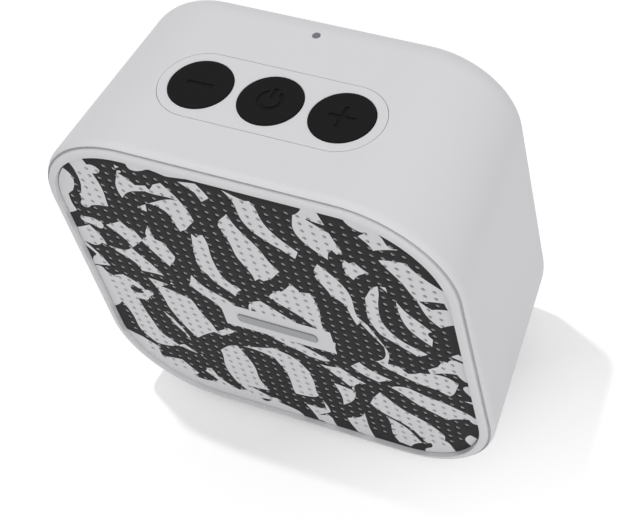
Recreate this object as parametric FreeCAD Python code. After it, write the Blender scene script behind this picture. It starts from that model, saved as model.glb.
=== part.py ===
import FreeCAD, Part
import math
import os

# A cube-like powered loudspeaker. Units are millimetres. +Z is up, the grille faces -Y and +X is
# to the right as seen from the front. The origin is under the middle of the object, on the
# surface that its feet stand on. The housing is one drafted bucket, moulded wide at the front
# and closed at the back, and everything goes in from the front.

# ---- envelope ----------------------------------------------------------------------------
WIDTH = 85.0                 # across the front, and its height
DEPTH = 44.0                 # front plane to back plane
CORNER_R = 21.6              # corner of the front outline
DRAFT_DEG = 6.2              # the four sides lean in towards the back
FRONT_EDGE_R = 2.4
BACK_EDGE_R = 6.4
WALL = 2.4
FOOT_FRONT_H = 1.2           # clear height under the bottom front edge

# ---- front: bezel, grille, cloth, badge ----------------------------------------------------
GROOVE_OUT = 0.6             # inset of the shadow groove's outer wall
GROOVE_IN = 1.1              # inset of the bezel's outer wall
GROOVE_FLOOR = 1.5           # depth of the groove's floor behind the front plane
REBATE_IN = 1.2              # inset of the rebate in the housing's rim
REBATE_FLOOR = 2.6           # depth of the rebate behind the front plane
BEZEL_RIM = 2.7              # inset of the grille opening
BEZEL_FIT = 0.2              # bezel skirt inside the housing wall
BEZEL_TONGUE_FIT = 0.1       # bezel inside the rebate
BEZEL_LEDGE = 3.9            # width of the ledge that the cloth and grille lie on
GRILLE_FIT = 0.25
GRILLE_T = 0.8
GRILLE_SET_BACK = 0.8
CLOTH_T = 0.3
BADGE_LENGTH = 17.0
BADGE_HEIGHT = 2.4
BADGE_T = 0.3
BADGE_BELOW_CENTRE = 5.4
BADGE_PIN_R = 0.6
BADGE_PIN_SPAN = 13.0
PEG_R = 1.2
PEG_IN = 2.4                 # peg axis in from the grille opening
PEG_FIT = 0.05
WEB_T = 1.2                  # rib from a baffle boss to the corner wall
WEB_SET_BACK = 1.0

# ---- baffle and its screws ----------------------------------------------------------------
BAFFLE_SET_BACK = 4.3
BAFFLE_T = 3.0
BAFFLE_FIT = 0.3
BAFFLE_BOSS_AT = 29.5        # boss axis from the middle, both ways
BAFFLE_BOSS_R = 3.2
SCREW_R = 1.1
SCREW_FIT = 0.02             # threads are drawn at their root
SCREW_HOLE_R = 1.4
SCREW_HEAD_R = 2.1
SCREW_HEAD_H = 1.4
BAFFLE_SCREW_L = 9.0

# ---- top controls -------------------------------------------------------------------------
ROW_BEFORE_MIDDLE = 2.2      # button row in front of mid-depth
BUTTON_R = 6.1
BUTTON_WEB = 1.7             # of the plate, between two keys
BUTTON_PROUD = 0.25
BUTTON_FIT = 0.12
BUTTON_TRAVEL = 0.3
BUTTON_EDGE_R = 0.2
BUTTON_BODY_T = 2.9
FLANGE_OUT = 0.5             # retaining flange beyond the cap
FLANGE_T = 0.8
FLANGE_GAP = 0.15
STEM_R = 1.6
STEM_L = 1.2
PLATE_BORDER = 2.0           # of the plate, around the keys
PLATE_T = 1.2
PLATE_FIT = 0.1
PLATE_LEDGE = 1.0
ICON_DEPTH = 0.2
ICON_SIZE = 5.2
ICON_LINE = 0.85
SWITCH_SIDE = 6.0
SWITCH_H = 3.4
PLUNGER_R = 1.7
PLUNGER_FIT = 0.1
PLUNGER_H = 1.5
PLUNGER_UP = 0.7             # how far it stands out of the switch
PRESS_GAP = 0.05
BOARD_T = 1.2
BOARD_CLEAR = 0.5            # around the baffle bosses
TOP_BOARD_BACK = 20.3
TOP_BOSS_FRONT = 8.6
TOP_BOSS_BACK = 15.0
TOP_BOSS_R = 1.9
TOP_BOSS_BEYOND = 0.25       # boss axis outside the outer key's edge
BOSS_TO_EDGE = 2.3           # boss axis to the edge of the board
SMALL_SCREW_R = 0.8
SMALL_SCREW_HOLE_R = 1.1
SMALL_SCREW_HEAD_R = 1.6
SMALL_SCREW_HEAD_H = 1.0
SMALL_SCREW_L = 4.2
HOLE_SPARE = 0.4             # pilot hole beyond the screw's tip
LIGHT_R = 0.75
LIGHT_FIT = 0.05
LIGHT_X = 0.6
LIGHT_BACK = 17.9            # along the top from the button row
LIGHT_FLANGE_R = 1.7
LIGHT_FLANGE_T = 0.7
LIGHT_FLANGE_GAP = 0.3
LED_H = 0.6
LED_GAP = 0.3
MIC_X = 7.1
MIC_LENGTH = 3.8
MIC_WIDTH = 3.0
MIC_H = 1.1
MIC_BACK = 9.3               # mic's front edge in front of the button row
MIC_PORT_R = 0.6
MIC_FIT = 0.02
BOOT_WALL = 1.2

# ---- loudspeaker driver -------------------------------------------------------------------
DRIVER_HALF = 26.5
DRIVER_CORNER_R = 8.0
DRIVER_HOLE_AT = 22.0
FRAME_T = 1.0
GASKET_T = 0.5
GASKET_FIT = 0.1
WINDOW_HALF = 6.0            # of the basket's four windows
WINDOW_MARGIN = 2.2          # left in front of and behind them
CONE_R = 19.4
CONE_RIM_IN = 18.6
CONE_T = 0.5
CONE_DEPTH = 8.4
NECK_R = 10.0
COIL_WALL = 0.25
COIL_WIRE = 0.4
COIL_LENGTH = 4.3
POLE_GAP = 0.35
PLATE_GAP = 0.4
ROLL_IN_R = 19.4
ROLL_OUT_R = 22.2
ROLL_T = 0.35
ROLL_RISE = 1.5
SURROUND_FLANGE = 1.2
BAFFLE_HOLE_R = 22.6
BASKET_DEPTH = 12.5
BASKET_WALL = 0.8
BASKET_TOP_R = 22.6
BASKET_END_R = 14.2
TOP_PLATE_T = 2.5
TOP_PLATE_R = 14.0
MAGNET_R = 15.0
MAGNET_T = 5.0
MAGNET_IN = 1.0              # its hole is this much wider than the gap's
YOKE_R = 14.0
YOKE_T = 2.2
SPIDER_T = 0.4
SPIDER_FIT = 0.2
SPIDER_WAVE = 0.35           # half the height of its corrugations
SPIDER_RINGS = 6
SPIDER_BEFORE_SEAT = 1.5
DUST_CAP_OVER = 1.0          # dust cap beyond the neck
DUST_CAP_RISE = 4.0
DUST_CAP_T = 0.4
DRIVER_SCREW_L = 4.0

# ---- main board, ports and battery ---------------------------------------------------------
MAIN_HALF_X = 25.0
MAIN_LENGTH = 27.4
MAIN_BACK_GAP = 1.2          # to the inside of the back wall
MAIN_BELOW_CENTRE = 30.0     # its upper face
MAIN_BOSS_INSET = 3.5        # boss axis from the board's edges
MAIN_BOSS_R = 2.2
PORT_X = -9.0
PORT_WIDTH = 8.94
PORT_HEIGHT = 3.26
PORT_LENGTH = 7.35
PORT_WALL = 0.3
PORT_FIT = 0.25
PORT_RECESS_X = 12.4
PORT_RECESS_Z = 6.4
PORT_RECESS_DEPTH = 1.0
JACK_X = 9.0
JACK_BORE_R = 1.8
JACK_BORE_L = 14.0
JACK_WIDTH = 6.4
JACK_HEIGHT = 5.2
JACK_NOSE_R = 3.0
JACK_NOSE_SET = 0.2          # nose behind the back plane
BATTERY_HALF_X = 25.0
BATTERY_BOTTOM = -21.0       # from the middle height
BATTERY_TOP = 15.0
BATTERY_T = 7.6
BATTERY_EDGE_R = 2.4
TAPE_T = 0.6
TAPE_INSET = 5.0
LEAD_R = 0.8
LEAD_SLACK = 2.5             # sideways bow of the button lead
LEAD_END_GAP = 0.05          # under the tilted socket
TOP_SOCKET_BACK = 6.0        # the button board's socket, back from the button row
TOP_SOCKET_H = 3.0
SPEAKER_SOCKET = (13.0, 5.0)     # across the board, and back from its front edge
BATTERY_SOCKET = (20.0, 16.0)
BUTTON_SOCKET = (-18.5, 14.0)
SOCKET_HALF_X = 3.0
SOCKET_HALF_Y = 1.8
SOCKET_H = 4.0
TERMINAL_WIDTH = 7.0
TERMINAL_HEIGHT = 3.2
TERMINAL_T = 1.2
TERMINAL_UP = 0.6            # above the lower edge of the driver's flange
FOOT_R = 4.0                 # half the width of a foot, and the radius of its ends
FOOT_SEAT = 0.6              # depth of the pocket that holds it
FOOT_FIT = 0.1
FOOT_X = 24.0
FOOT_FRONT_Y = -13.0         # centres of its round ends
FOOT_BACK_Y = 10.0

# ---- derived ------------------------------------------------------------------------------
Vec = FreeCAD.Vector
SLOPE = math.tan(math.radians(DRAFT_DEG))
Y_FRONT = -DEPTH / 2
Y_BACK = DEPTH / 2
ZC = FOOT_FRONT_H + WIDTH / 2
CORNER_AT = WIDTH / 2 - CORNER_R
Y_AXIS = Vec(0, 1, 0)
Z_AXIS = Vec(0, 0, 1)
PAST = 2.0                   # how far a cutting tool runs past a face

GRILLE_FACE = Y_FRONT + GRILLE_SET_BACK
GRILLE_BACK = GRILLE_FACE + GRILLE_T
BAFFLE_FACE = Y_FRONT + BAFFLE_SET_BACK
BAFFLE_BACK = BAFFLE_FACE + BAFFLE_T
BACK_INSIDE = Y_BACK - WALL
DRIVER_FACE = BAFFLE_BACK + GASKET_T
TOP_PLATE_FACE = DRIVER_FACE + BASKET_DEPTH
YOKE_FACE = TOP_PLATE_FACE + TOP_PLATE_T + MAGNET_T
COIL_OUT_R = NECK_R + COIL_WIRE
GAP_R = COIL_OUT_R + PLATE_GAP
POLE_R = NECK_R - COIL_WALL - POLE_GAP
DUST_CAP_R = NECK_R + DUST_CAP_OVER
BUTTON_PITCH = 2 * (BUTTON_R + BUTTON_FIT) + BUTTON_WEB
PLATE_R = BUTTON_R + PLATE_BORDER
TOP_BOSS_X = BUTTON_PITCH + BUTTON_R + TOP_BOSS_BEYOND
TOP_BOARD_HALF_X = TOP_BOSS_X + BOSS_TO_EDGE
TOP_BOARD_FRONT = TOP_BOSS_FRONT + BOSS_TO_EDGE
MAIN_BACK = BACK_INSIDE - MAIN_BACK_GAP
MAIN_FRONT = MAIN_BACK - MAIN_LENGTH
CAP_BOTTOM = BUTTON_PROUD - BUTTON_BODY_T
MAIN_TOP = ZC - MAIN_BELOW_CENTRE
WALL_NORMAL = WALL * math.cos(math.radians(DRAFT_DEG))
STEM_END = CAP_BOTTOM - STEM_L
PLUNGER_TOP = STEM_END - PRESS_GAP
SWITCH_TOP = PLUNGER_TOP - PLUNGER_UP
TOP_BOARD_FACE = SWITCH_TOP - SWITCH_H
ROW_Y = -ROW_BEFORE_MIDDLE


def half_at(y):
    """Half the outer width at a depth: it shrinks with the draft."""
    return WIDTH / 2 - (y - Y_FRONT) * SLOPE


def block(x0, x1, y0, y1, z0, z1):
    return Part.makeBox(x1 - x0, y1 - y0, z1 - z0, Vec(x0, y0, z0))


def rod_y(x, z, radius, y0, y1):
    """A round bar along Y."""
    return Part.makeCylinder(radius, y1 - y0, Vec(x, y0, z), Y_AXIS)


def rod_z(x, y, radius, z0, z1):
    return Part.makeCylinder(radius, z1 - z0, Vec(x, y, z0), Z_AXIS)


def joined(shapes):
    """Fuse a list of solids into one and merge its coplanar faces."""
    return shapes[0].fuse(shapes[1:]).removeSplitter()


def corners():
    """The four diagonal directions."""
    return [(sx, sz) for sx in (-1, 1) for sz in (-1, 1)]


def frustum(inset, y0, y1):
    """The drafted rounded square between two depths, in from the outer surface by inset.

    It is a cross of two tapered slabs and a cone at each corner, so every face is a plane
    or a cone.
    """
    h0 = half_at(y0) - inset
    h1 = half_at(y1) - inset
    flat = [(-h0, y0), (h0, y0), (h1, y1), (-h1, y1), (-h0, y0)]
    wide = Part.Face(Part.makePolygon([Vec(x, y, ZC - CORNER_AT) for x, y in flat]))
    tall = Part.Face(Part.makePolygon([Vec(-CORNER_AT, y, ZC + x) for x, y in flat]))
    pieces = [wide.extrude(Vec(0, 0, 2 * CORNER_AT)), tall.extrude(Vec(2 * CORNER_AT, 0, 0))]
    for sx, sz in corners():
        foot = Vec(sx * CORNER_AT, y0, ZC + sz * CORNER_AT)
        pieces.append(Part.makeCone(h0 - CORNER_AT, h1 - CORNER_AT, y1 - y0, foot, Y_AXIS))
    return joined(pieces)


def edges_at_depth(shape, y):
    """Edges of a shape that lie wholly in the plane at a depth."""
    return [e for e in shape.Edges if abs(e.BoundBox.YMin - y) + abs(e.BoundBox.YMax - y) < 0.01]


def envelope():
    """The outer form, with its rounded front and back edges."""
    shape = frustum(0, Y_FRONT, Y_BACK)
    shape = shape.makeFillet(BACK_EDGE_R, edges_at_depth(shape, Y_BACK))
    return shape.makeFillet(FRONT_EDGE_R, edges_at_depth(shape, Y_FRONT))


def on_top(shape):
    """Place a shape drawn about the button row: X right, Y along the top, Z out of it."""
    turned = shape.copy()
    seat = Vec(0, ROW_Y, ZC + half_at(ROW_Y))
    place = FreeCAD.Placement(seat, FreeCAD.Rotation(Vec(1, 0, 0), -DRAFT_DEG))
    turned.Placement = place.multiply(turned.Placement)
    return turned


def button_xs():
    return [-BUTTON_PITCH, 0, BUTTON_PITCH]


def stadium(radius, z0, z1):
    """A slab with round ends about the outer buttons."""
    a = BUTTON_PITCH
    far = a + radius
    edges = [
        Part.LineSegment(Vec(-a, -radius, z0), Vec(a, -radius, z0)).toShape(),
        Part.Arc(Vec(a, -radius, z0), Vec(far, 0, z0), Vec(a, radius, z0)).toShape(),
        Part.LineSegment(Vec(a, radius, z0), Vec(-a, radius, z0)).toShape(),
        Part.Arc(Vec(-a, radius, z0), Vec(-far, 0, z0), Vec(-a, -radius, z0)).toShape(),
    ]
    return Part.Face(Part.Wire(edges)).extrude(Vec(0, 0, z1 - z0))


def rounded_plate(half, radius, y0, y1):
    """A square plate with round corners, about the middle, along Y."""
    sharp = block(-half, half, y0, y1, ZC - half, ZC + half)
    upright = [e for e in sharp.Edges if e.BoundBox.YLength > 0.9 * (y1 - y0)]
    return sharp.makeFillet(radius, upright)


def turned(points):
    """Revolve an outline of (radius, y) points about the driver's axis."""
    loop = [Vec(r, y, ZC) for r, y in points]
    face = Part.Face(Part.makePolygon(loop + [loop[0]]))
    return face.revolve(Vec(0, 0, ZC), Y_AXIS, 360)


def screw(radius, length, head_r, head_h):
    """A pan-head screw along -Z, its seat at the origin, with a cross recess."""
    body = rod_z(0, 0, radius, -length, 0).fuse(rod_z(0, 0, head_r, 0, head_h)).removeSplitter()
    rim = [e for e in body.Edges if e.BoundBox.ZMin > head_h - 0.01]
    body = body.makeFillet(head_h * 0.35, rim)
    slot = head_r * 0.6
    line = head_r * 0.11
    for sx, sy in ((slot, line), (line, slot)):
        body = body.cut(block(-sx, sx, -sy, sy, head_h * 0.5, head_h + PAST))
    return body


def screw_y(x, z, seat, toward, radius, length, head_r, head_h):
    """A screw along Y: toward is +1 when its head faces +Y."""
    body = screw(radius, length, head_r, head_h)
    body.Placement = FreeCAD.Placement(Vec(x, seat, z), FreeCAD.Rotation(Vec(1, 0, 0), -90 * toward))
    return body


def small_screw():
    return screw(SMALL_SCREW_R, SMALL_SCREW_L, SMALL_SCREW_HEAD_R, SMALL_SCREW_HEAD_H)


def tube(points, radius):
    """A lead along straight runs joined by tangent arcs, each as large as its runs allow."""
    edges = []
    last = points[0]
    for before, corner, after in zip(points, points[1:], points[2:]):
        back = before.sub(corner)
        ahead = after.sub(corner)
        half_turn = (math.pi - back.getAngle(ahead)) / 2
        cut = 0.45 * min(back.Length, ahead.Length)
        start = corner + back * (cut / back.Length)
        end = corner + ahead * (cut / ahead.Length)
        arc_r = cut / math.tan(half_turn)
        bisect = (start + end) * 0.5 - corner
        reach = arc_r / math.cos(half_turn) - arc_r
        middle = corner + bisect * (reach / bisect.Length)
        edges.append(Part.LineSegment(last, start).toShape())
        edges.append(Part.Arc(start, middle, end).toShape())
        last = end
    edges.append(Part.LineSegment(last, points[-1]).toShape())
    path = Part.Wire(edges)
    ring = Part.Wire(Part.makeCircle(radius, points[0], points[1].sub(points[0])))
    return path.makePipeShell([ring], True, False)


# ---- housing ------------------------------------------------------------------------------

def top_bosses_at():
    return [(sx * TOP_BOSS_X, v) for sx in (-1, 1) for v in (-TOP_BOSS_FRONT, TOP_BOSS_BACK)]


def main_bosses_at():
    x = MAIN_HALF_X - MAIN_BOSS_INSET
    depths = (MAIN_FRONT + MAIN_BOSS_INSET, MAIN_BACK - MAIN_BOSS_INSET)
    return [(sx * x, y) for sx in (-1, 1) for y in depths]


def housing_bosses():
    """Columns for the baffle, the main board and the button board, with corner webs."""
    pieces = []
    for sx, sz in corners():
        x = sx * BAFFLE_BOSS_AT
        z = ZC + sz * BAFFLE_BOSS_AT
        pieces.append(rod_y(x, z, BAFFLE_BOSS_R, BAFFLE_BACK, Y_BACK))
        web = block(0, WIDTH / 2, BAFFLE_BACK + WEB_SET_BACK, Y_BACK, -WEB_T / 2, WEB_T / 2)
        turn = math.degrees(math.atan2(sz, sx))
        web.Placement = FreeCAD.Placement(Vec(x, 0, z), FreeCAD.Rotation(Vec(0, 1, 0), -turn))
        pieces.append(web)
    for x, y in main_bosses_at():
        pieces.append(rod_z(x, y, MAIN_BOSS_R, 0, MAIN_TOP - BOARD_T))
    for x, v in top_bosses_at():
        pieces.append(on_top(rod_z(x, v, TOP_BOSS_R, TOP_BOARD_FACE, 0)))
    return pieces


def housing_cuts():
    """Openings and pilot holes of the housing."""
    back = []
    for sx, sz in corners():
        x = sx * BAFFLE_BOSS_AT
        z = ZC + sz * BAFFLE_BOSS_AT
        deep = BAFFLE_FACE + BAFFLE_SCREW_L + HOLE_SPARE
        back.append(rod_y(x, z, SCREW_R + SCREW_FIT, BAFFLE_BACK - PAST, deep))
    for x, y in main_bosses_at():
        top = MAIN_TOP - BOARD_T
        deep = MAIN_TOP - SMALL_SCREW_L - HOLE_SPARE
        back.append(rod_z(x, y, SMALL_SCREW_R + SCREW_FIT, deep, top + PAST))
    for x, v in top_bosses_at():
        deep = TOP_BOARD_FACE - BOARD_T + SMALL_SCREW_L + HOLE_SPARE
        hole = rod_z(x, v, SMALL_SCREW_R + SCREW_FIT, TOP_BOARD_FACE - PAST, deep)
        back.append(on_top(hole))
    back.append(on_top(stadium(PLATE_R + PLATE_FIT, -PLATE_T, PAST)))
    back.append(on_top(stadium(PLATE_R - PLATE_LEDGE, -WALL - PAST, PAST)))
    back.append(on_top(rod_z(LIGHT_X, LIGHT_BACK, LIGHT_R + LIGHT_FIT, -WALL - PAST, PAST)))
    back.append(port_shape(PORT_FIT, BACK_INSIDE - PAST, Y_BACK + PAST))
    half_x = PORT_RECESS_X / 2
    half_z = PORT_RECESS_Z / 2
    recess = block(PORT_X - half_x, PORT_X + half_x, Y_BACK - PORT_RECESS_DEPTH, Y_BACK + PAST,
                   port_z() - half_z, port_z() + half_z)
    along = [e for e in recess.Edges if e.BoundBox.YLength > 1]
    back.append(recess.makeFillet(half_z * 0.9, along))
    back.append(rod_y(JACK_X, jack_z(), JACK_NOSE_R + PORT_FIT, BACK_INSIDE - PAST, Y_BACK + PAST))
    for x in (-FOOT_X, FOOT_X):
        back.append(foot(x, FOOT_R + FOOT_FIT))
    return back


def make_housing():
    cavity = frustum(WALL, Y_FRONT - PAST, BACK_INSIDE)
    cavity = cavity.makeFillet(BACK_EDGE_R - WALL, edges_at_depth(cavity, BACK_INSIDE))
    shell = envelope().cut(cavity)
    mouth = frustum(GROOVE_OUT, Y_FRONT - PAST, Y_FRONT + GROOVE_FLOOR)
    rebate = frustum(REBATE_IN, Y_FRONT - PAST, Y_FRONT + REBATE_FLOOR)
    shell = shell.cut([mouth, rebate])
    half_wall = WALL / 2
    limit = frustum(half_wall, Y_FRONT, Y_BACK - half_wall)
    limit = limit.makeFillet(BACK_EDGE_R - half_wall, edges_at_depth(limit, Y_BACK - half_wall))
    posts = [post.common(limit) for post in housing_bosses()]
    shell = shell.fuse(posts).removeSplitter()
    return shell.cut(housing_cuts())


# ---- front --------------------------------------------------------------------------------

def pegs_at():
    at = half_at(Y_FRONT) - BEZEL_RIM - PEG_IN
    return [(at, 0), (-at, 0), (0, at), (0, -at)]


def make_front_bezel():
    floor = Y_FRONT + GROOVE_FLOOR
    skirt_end = BAFFLE_FACE - BEZEL_FIT
    tongue_end = Y_FRONT + REBATE_FLOOR
    rim = envelope().common(frustum(GROOVE_IN, Y_FRONT - PAST, floor))
    tongue = frustum(REBATE_IN + BEZEL_TONGUE_FIT, floor, tongue_end)
    skirt = frustum(WALL + BEZEL_FIT, tongue_end, skirt_end)
    ring = joined([rim, tongue, skirt])
    ring = ring.cut(frustum(BEZEL_RIM, Y_FRONT - PAST, GRILLE_BACK + CLOTH_T))
    ring = ring.cut(frustum(BEZEL_RIM + BEZEL_LEDGE, Y_FRONT - PAST, skirt_end + PAST))
    pegs = [rod_y(x, ZC + z, PEG_R, skirt_end - 1.0, BAFFLE_BACK) for x, z in pegs_at()]
    return ring.fuse(pegs).removeSplitter()


def badge_pins(radius):
    z = ZC - BADGE_BELOW_CENTRE
    half = BADGE_PIN_SPAN / 2
    return [rod_y(x, z, radius, GRILLE_FACE - 0.01, GRILLE_BACK) for x in (-half, half)]


def make_grille():
    sheet = frustum(BEZEL_RIM + GRILLE_FIT, GRILLE_FACE, GRILLE_BACK)
    return sheet.cut(badge_pins(BADGE_PIN_R + PEG_FIT))


def make_grille_cloth():
    return frustum(BEZEL_RIM + GRILLE_FIT, GRILLE_BACK, GRILLE_BACK + CLOTH_T)


def make_badge():
    half = BADGE_LENGTH / 2
    z = ZC - BADGE_BELOW_CENTRE
    tall = BADGE_HEIGHT / 2
    bar = block(-half, half, GRILLE_FACE - BADGE_T, GRILLE_FACE, z - tall, z + tall)
    ends = [e for e in bar.Edges if e.BoundBox.YLength > 0.9 * BADGE_T]
    bar = bar.makeFillet(tall * 0.6, ends)
    return bar.fuse(badge_pins(BADGE_PIN_R)).removeSplitter()


def make_baffle():
    plate = frustum(WALL + BAFFLE_FIT, BAFFLE_FACE, BAFFLE_BACK)
    cuts = [rod_y(0, ZC, BAFFLE_HOLE_R, BAFFLE_FACE - PAST, BAFFLE_BACK + PAST)]
    for sx, sz in corners():
        x = sx * BAFFLE_BOSS_AT
        z = ZC + sz * BAFFLE_BOSS_AT
        cuts.append(rod_y(x, z, SCREW_HOLE_R, BAFFLE_FACE - PAST, BAFFLE_BACK + PAST))
        x = sx * DRIVER_HOLE_AT
        z = ZC + sz * DRIVER_HOLE_AT
        deep = BAFFLE_BACK - (DRIVER_SCREW_L - FRAME_T - GASKET_T) - 0.2
        cuts.append(rod_y(x, z, SCREW_R + SCREW_FIT, deep, BAFFLE_BACK + PAST))
    for x, z in pegs_at():
        cuts.append(rod_y(x, ZC + z, PEG_R + PEG_FIT, BAFFLE_FACE - PAST, BAFFLE_BACK + PAST))
    cuts.append(mic_port(BAFFLE_FACE - PAST, BAFFLE_BACK + PAST))
    return plate.cut(cuts)


def make_baffle_screws():
    group = []
    for sx, sz in corners():
        x = sx * BAFFLE_BOSS_AT
        z = ZC + sz * BAFFLE_BOSS_AT
        group.append(screw_y(x, z, BAFFLE_FACE, -1, SCREW_R, BAFFLE_SCREW_L, SCREW_HEAD_R, SCREW_HEAD_H))
    return Part.makeCompound(group)


# ---- top controls -------------------------------------------------------------------------

def make_button_plate():
    plate = stadium(PLATE_R, -PLATE_T, 0)
    holes = [rod_z(x, 0, BUTTON_R + BUTTON_FIT, -PLATE_T - PAST, PAST) for x in button_xs()]
    return on_top(plate.cut(holes))


def minus_icon(z0, z1):
    return [block(-ICON_SIZE / 2, ICON_SIZE / 2, -ICON_LINE / 2, ICON_LINE / 2, z0, z1)]


def plus_icon(z0, z1):
    upright = block(-ICON_LINE / 2, ICON_LINE / 2, -ICON_SIZE / 2, ICON_SIZE / 2, z0, z1)
    return [upright.fuse(minus_icon(z0, z1)).removeSplitter()]


def power_icon(z0, z1):
    """An open ring with a bar in its gap."""
    outer = ICON_SIZE / 2
    ring = rod_z(0, 0, outer, z0, z1).cut(rod_z(0, 0, outer - ICON_LINE, z0 - 1, z1 + 1))
    gap = ICON_LINE * 1.3
    ring = ring.cut(block(-gap, gap, 0, outer + 1, z0 - 1, z1 + 1))
    bar = block(-ICON_LINE / 2, ICON_LINE / 2, outer * 0.15, outer * 1.15, z0, z1)
    return [ring, bar]


def make_button(x, icon):
    """A round cap with a retaining flange, a stem underneath and a sunk symbol on top."""
    cap = rod_z(0, 0, BUTTON_R, CAP_BOTTOM, BUTTON_PROUD)
    rim = [e for e in cap.Edges if e.BoundBox.ZMin > BUTTON_PROUD - 0.01]
    cap = cap.makeFillet(BUTTON_EDGE_R, rim)
    flange_top = -PLATE_T - FLANGE_GAP
    flange = rod_z(0, 0, BUTTON_R + FLANGE_OUT, flange_top - FLANGE_T, flange_top)
    stem = rod_z(0, 0, STEM_R, STEM_END, CAP_BOTTOM)
    cap = cap.fuse([flange, stem]).removeSplitter()
    cap = cap.cut(icon(BUTTON_PROUD - ICON_DEPTH, BUTTON_PROUD + PAST))
    cap.translate(Vec(x, 0, 0))
    return on_top(cap)


def make_plunger(x):
    return on_top(rod_z(x, 0, PLUNGER_R, PLUNGER_TOP - PLUNGER_H, PLUNGER_TOP))


def make_switch_bodies():
    half = SWITCH_SIDE / 2
    well = PLUNGER_H - PLUNGER_UP + BUTTON_TRAVEL + PLUNGER_FIT
    group = []
    for x in button_xs():
        body = block(x - half, x + half, -half, half, TOP_BOARD_FACE, SWITCH_TOP)
        hole = rod_z(x, 0, PLUNGER_R + PLUNGER_FIT, SWITCH_TOP - well, SWITCH_TOP + PAST)
        group.append(on_top(body.cut(hole)))
    return Part.makeCompound(group)


def make_button_board():
    low = TOP_BOARD_FACE - BOARD_T
    board = block(-TOP_BOARD_HALF_X, TOP_BOARD_HALF_X, -TOP_BOARD_FRONT, TOP_BOARD_BACK, low,
                  TOP_BOARD_FACE)
    holes = [rod_z(x, v, SMALL_SCREW_HOLE_R, low - PAST, TOP_BOARD_FACE + PAST)
             for x, v in top_bosses_at()]
    notch_r = BAFFLE_BOSS_R + BOARD_CLEAR
    notches = [rod_y(sx * BAFFLE_BOSS_AT, ZC + BAFFLE_BOSS_AT, notch_r, Y_FRONT, Y_BACK)
               for sx in (-1, 1)]
    return on_top(board.cut(holes)).cut(notches)


def make_button_board_screws():
    group = []
    for x, v in top_bosses_at():
        body = small_screw()
        seat = Vec(x, v, TOP_BOARD_FACE - BOARD_T)
        body.Placement = FreeCAD.Placement(seat, FreeCAD.Rotation(Vec(1, 0, 0), 180))
        group.append(on_top(body))
    return Part.makeCompound(group)


def make_light_pipe():
    end = TOP_BOARD_FACE + LED_H + LED_GAP
    stem = rod_z(LIGHT_X, LIGHT_BACK, LIGHT_R, end, 0)
    flange_top = -WALL_NORMAL - LIGHT_FLANGE_GAP
    flange = rod_z(LIGHT_X, LIGHT_BACK, LIGHT_FLANGE_R, flange_top - LIGHT_FLANGE_T, flange_top)
    return on_top(joined([stem, flange]))


def make_status_led():
    half = LED_H
    return on_top(block(LIGHT_X - half, LIGHT_X + half, LIGHT_BACK - half, LIGHT_BACK + half,
                        TOP_BOARD_FACE, TOP_BOARD_FACE + LED_H))


def make_microphone():
    half = MIC_WIDTH / 2
    return on_top(block(MIC_X - half, MIC_X + half, -MIC_BACK, -MIC_BACK + MIC_LENGTH,
                        TOP_BOARD_FACE, TOP_BOARD_FACE + MIC_H))


def mic_port(y0, y1):
    """The sound channel through the baffle and the boot, along Y."""
    seat = on_top(Part.Vertex(Vec(MIC_X, -MIC_BACK, TOP_BOARD_FACE + MIC_H + MIC_PORT_R)))
    return rod_y(MIC_X, seat.Point.z, MIC_PORT_R, y0, y1)


def make_mic_boot():
    """A rubber hood over the microphone that seals it to the sound hole of the baffle."""
    half = MIC_WIDTH / 2 + BOOT_WALL
    tall = MIC_H + 2 * MIC_PORT_R + BOOT_WALL
    behind = -MIC_BACK + MIC_LENGTH
    hood = on_top(block(MIC_X - half, MIC_X + half, -DEPTH / 2, behind + BOOT_WALL, TOP_BOARD_FACE,
                        TOP_BOARD_FACE + tall))
    hood = hood.cut(block(-WIDTH, WIDTH, -DEPTH, BAFFLE_BACK, 0, 2 * WIDTH))
    room_x = MIC_WIDTH / 2 + MIC_FIT
    room = block(MIC_X - room_x, MIC_X + room_x, -MIC_BACK - MIC_FIT, behind + MIC_FIT,
                 TOP_BOARD_FACE - 1, TOP_BOARD_FACE + MIC_H + MIC_PORT_R)
    hood = hood.cut(on_top(room))
    mic_y = ROW_Y - MIC_BACK + MIC_LENGTH / 2
    return hood.cut(mic_port(BAFFLE_BACK - PAST, mic_y))


# ---- driver -------------------------------------------------------------------------------

def make_driver_gasket():
    ring = rounded_plate(DRIVER_HALF, DRIVER_CORNER_R, BAFFLE_BACK, DRIVER_FACE)
    inside = ROLL_OUT_R + SURROUND_FLANGE + GASKET_FIT
    cuts = [rod_y(0, ZC, inside, BAFFLE_BACK - 1, DRIVER_FACE + 1)]
    for sx, sz in corners():
        cuts.append(rod_y(sx * DRIVER_HOLE_AT, ZC + sz * DRIVER_HOLE_AT, SCREW_HOLE_R,
                          BAFFLE_BACK - 1, DRIVER_FACE + 1))
    return ring.cut(cuts)


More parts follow.
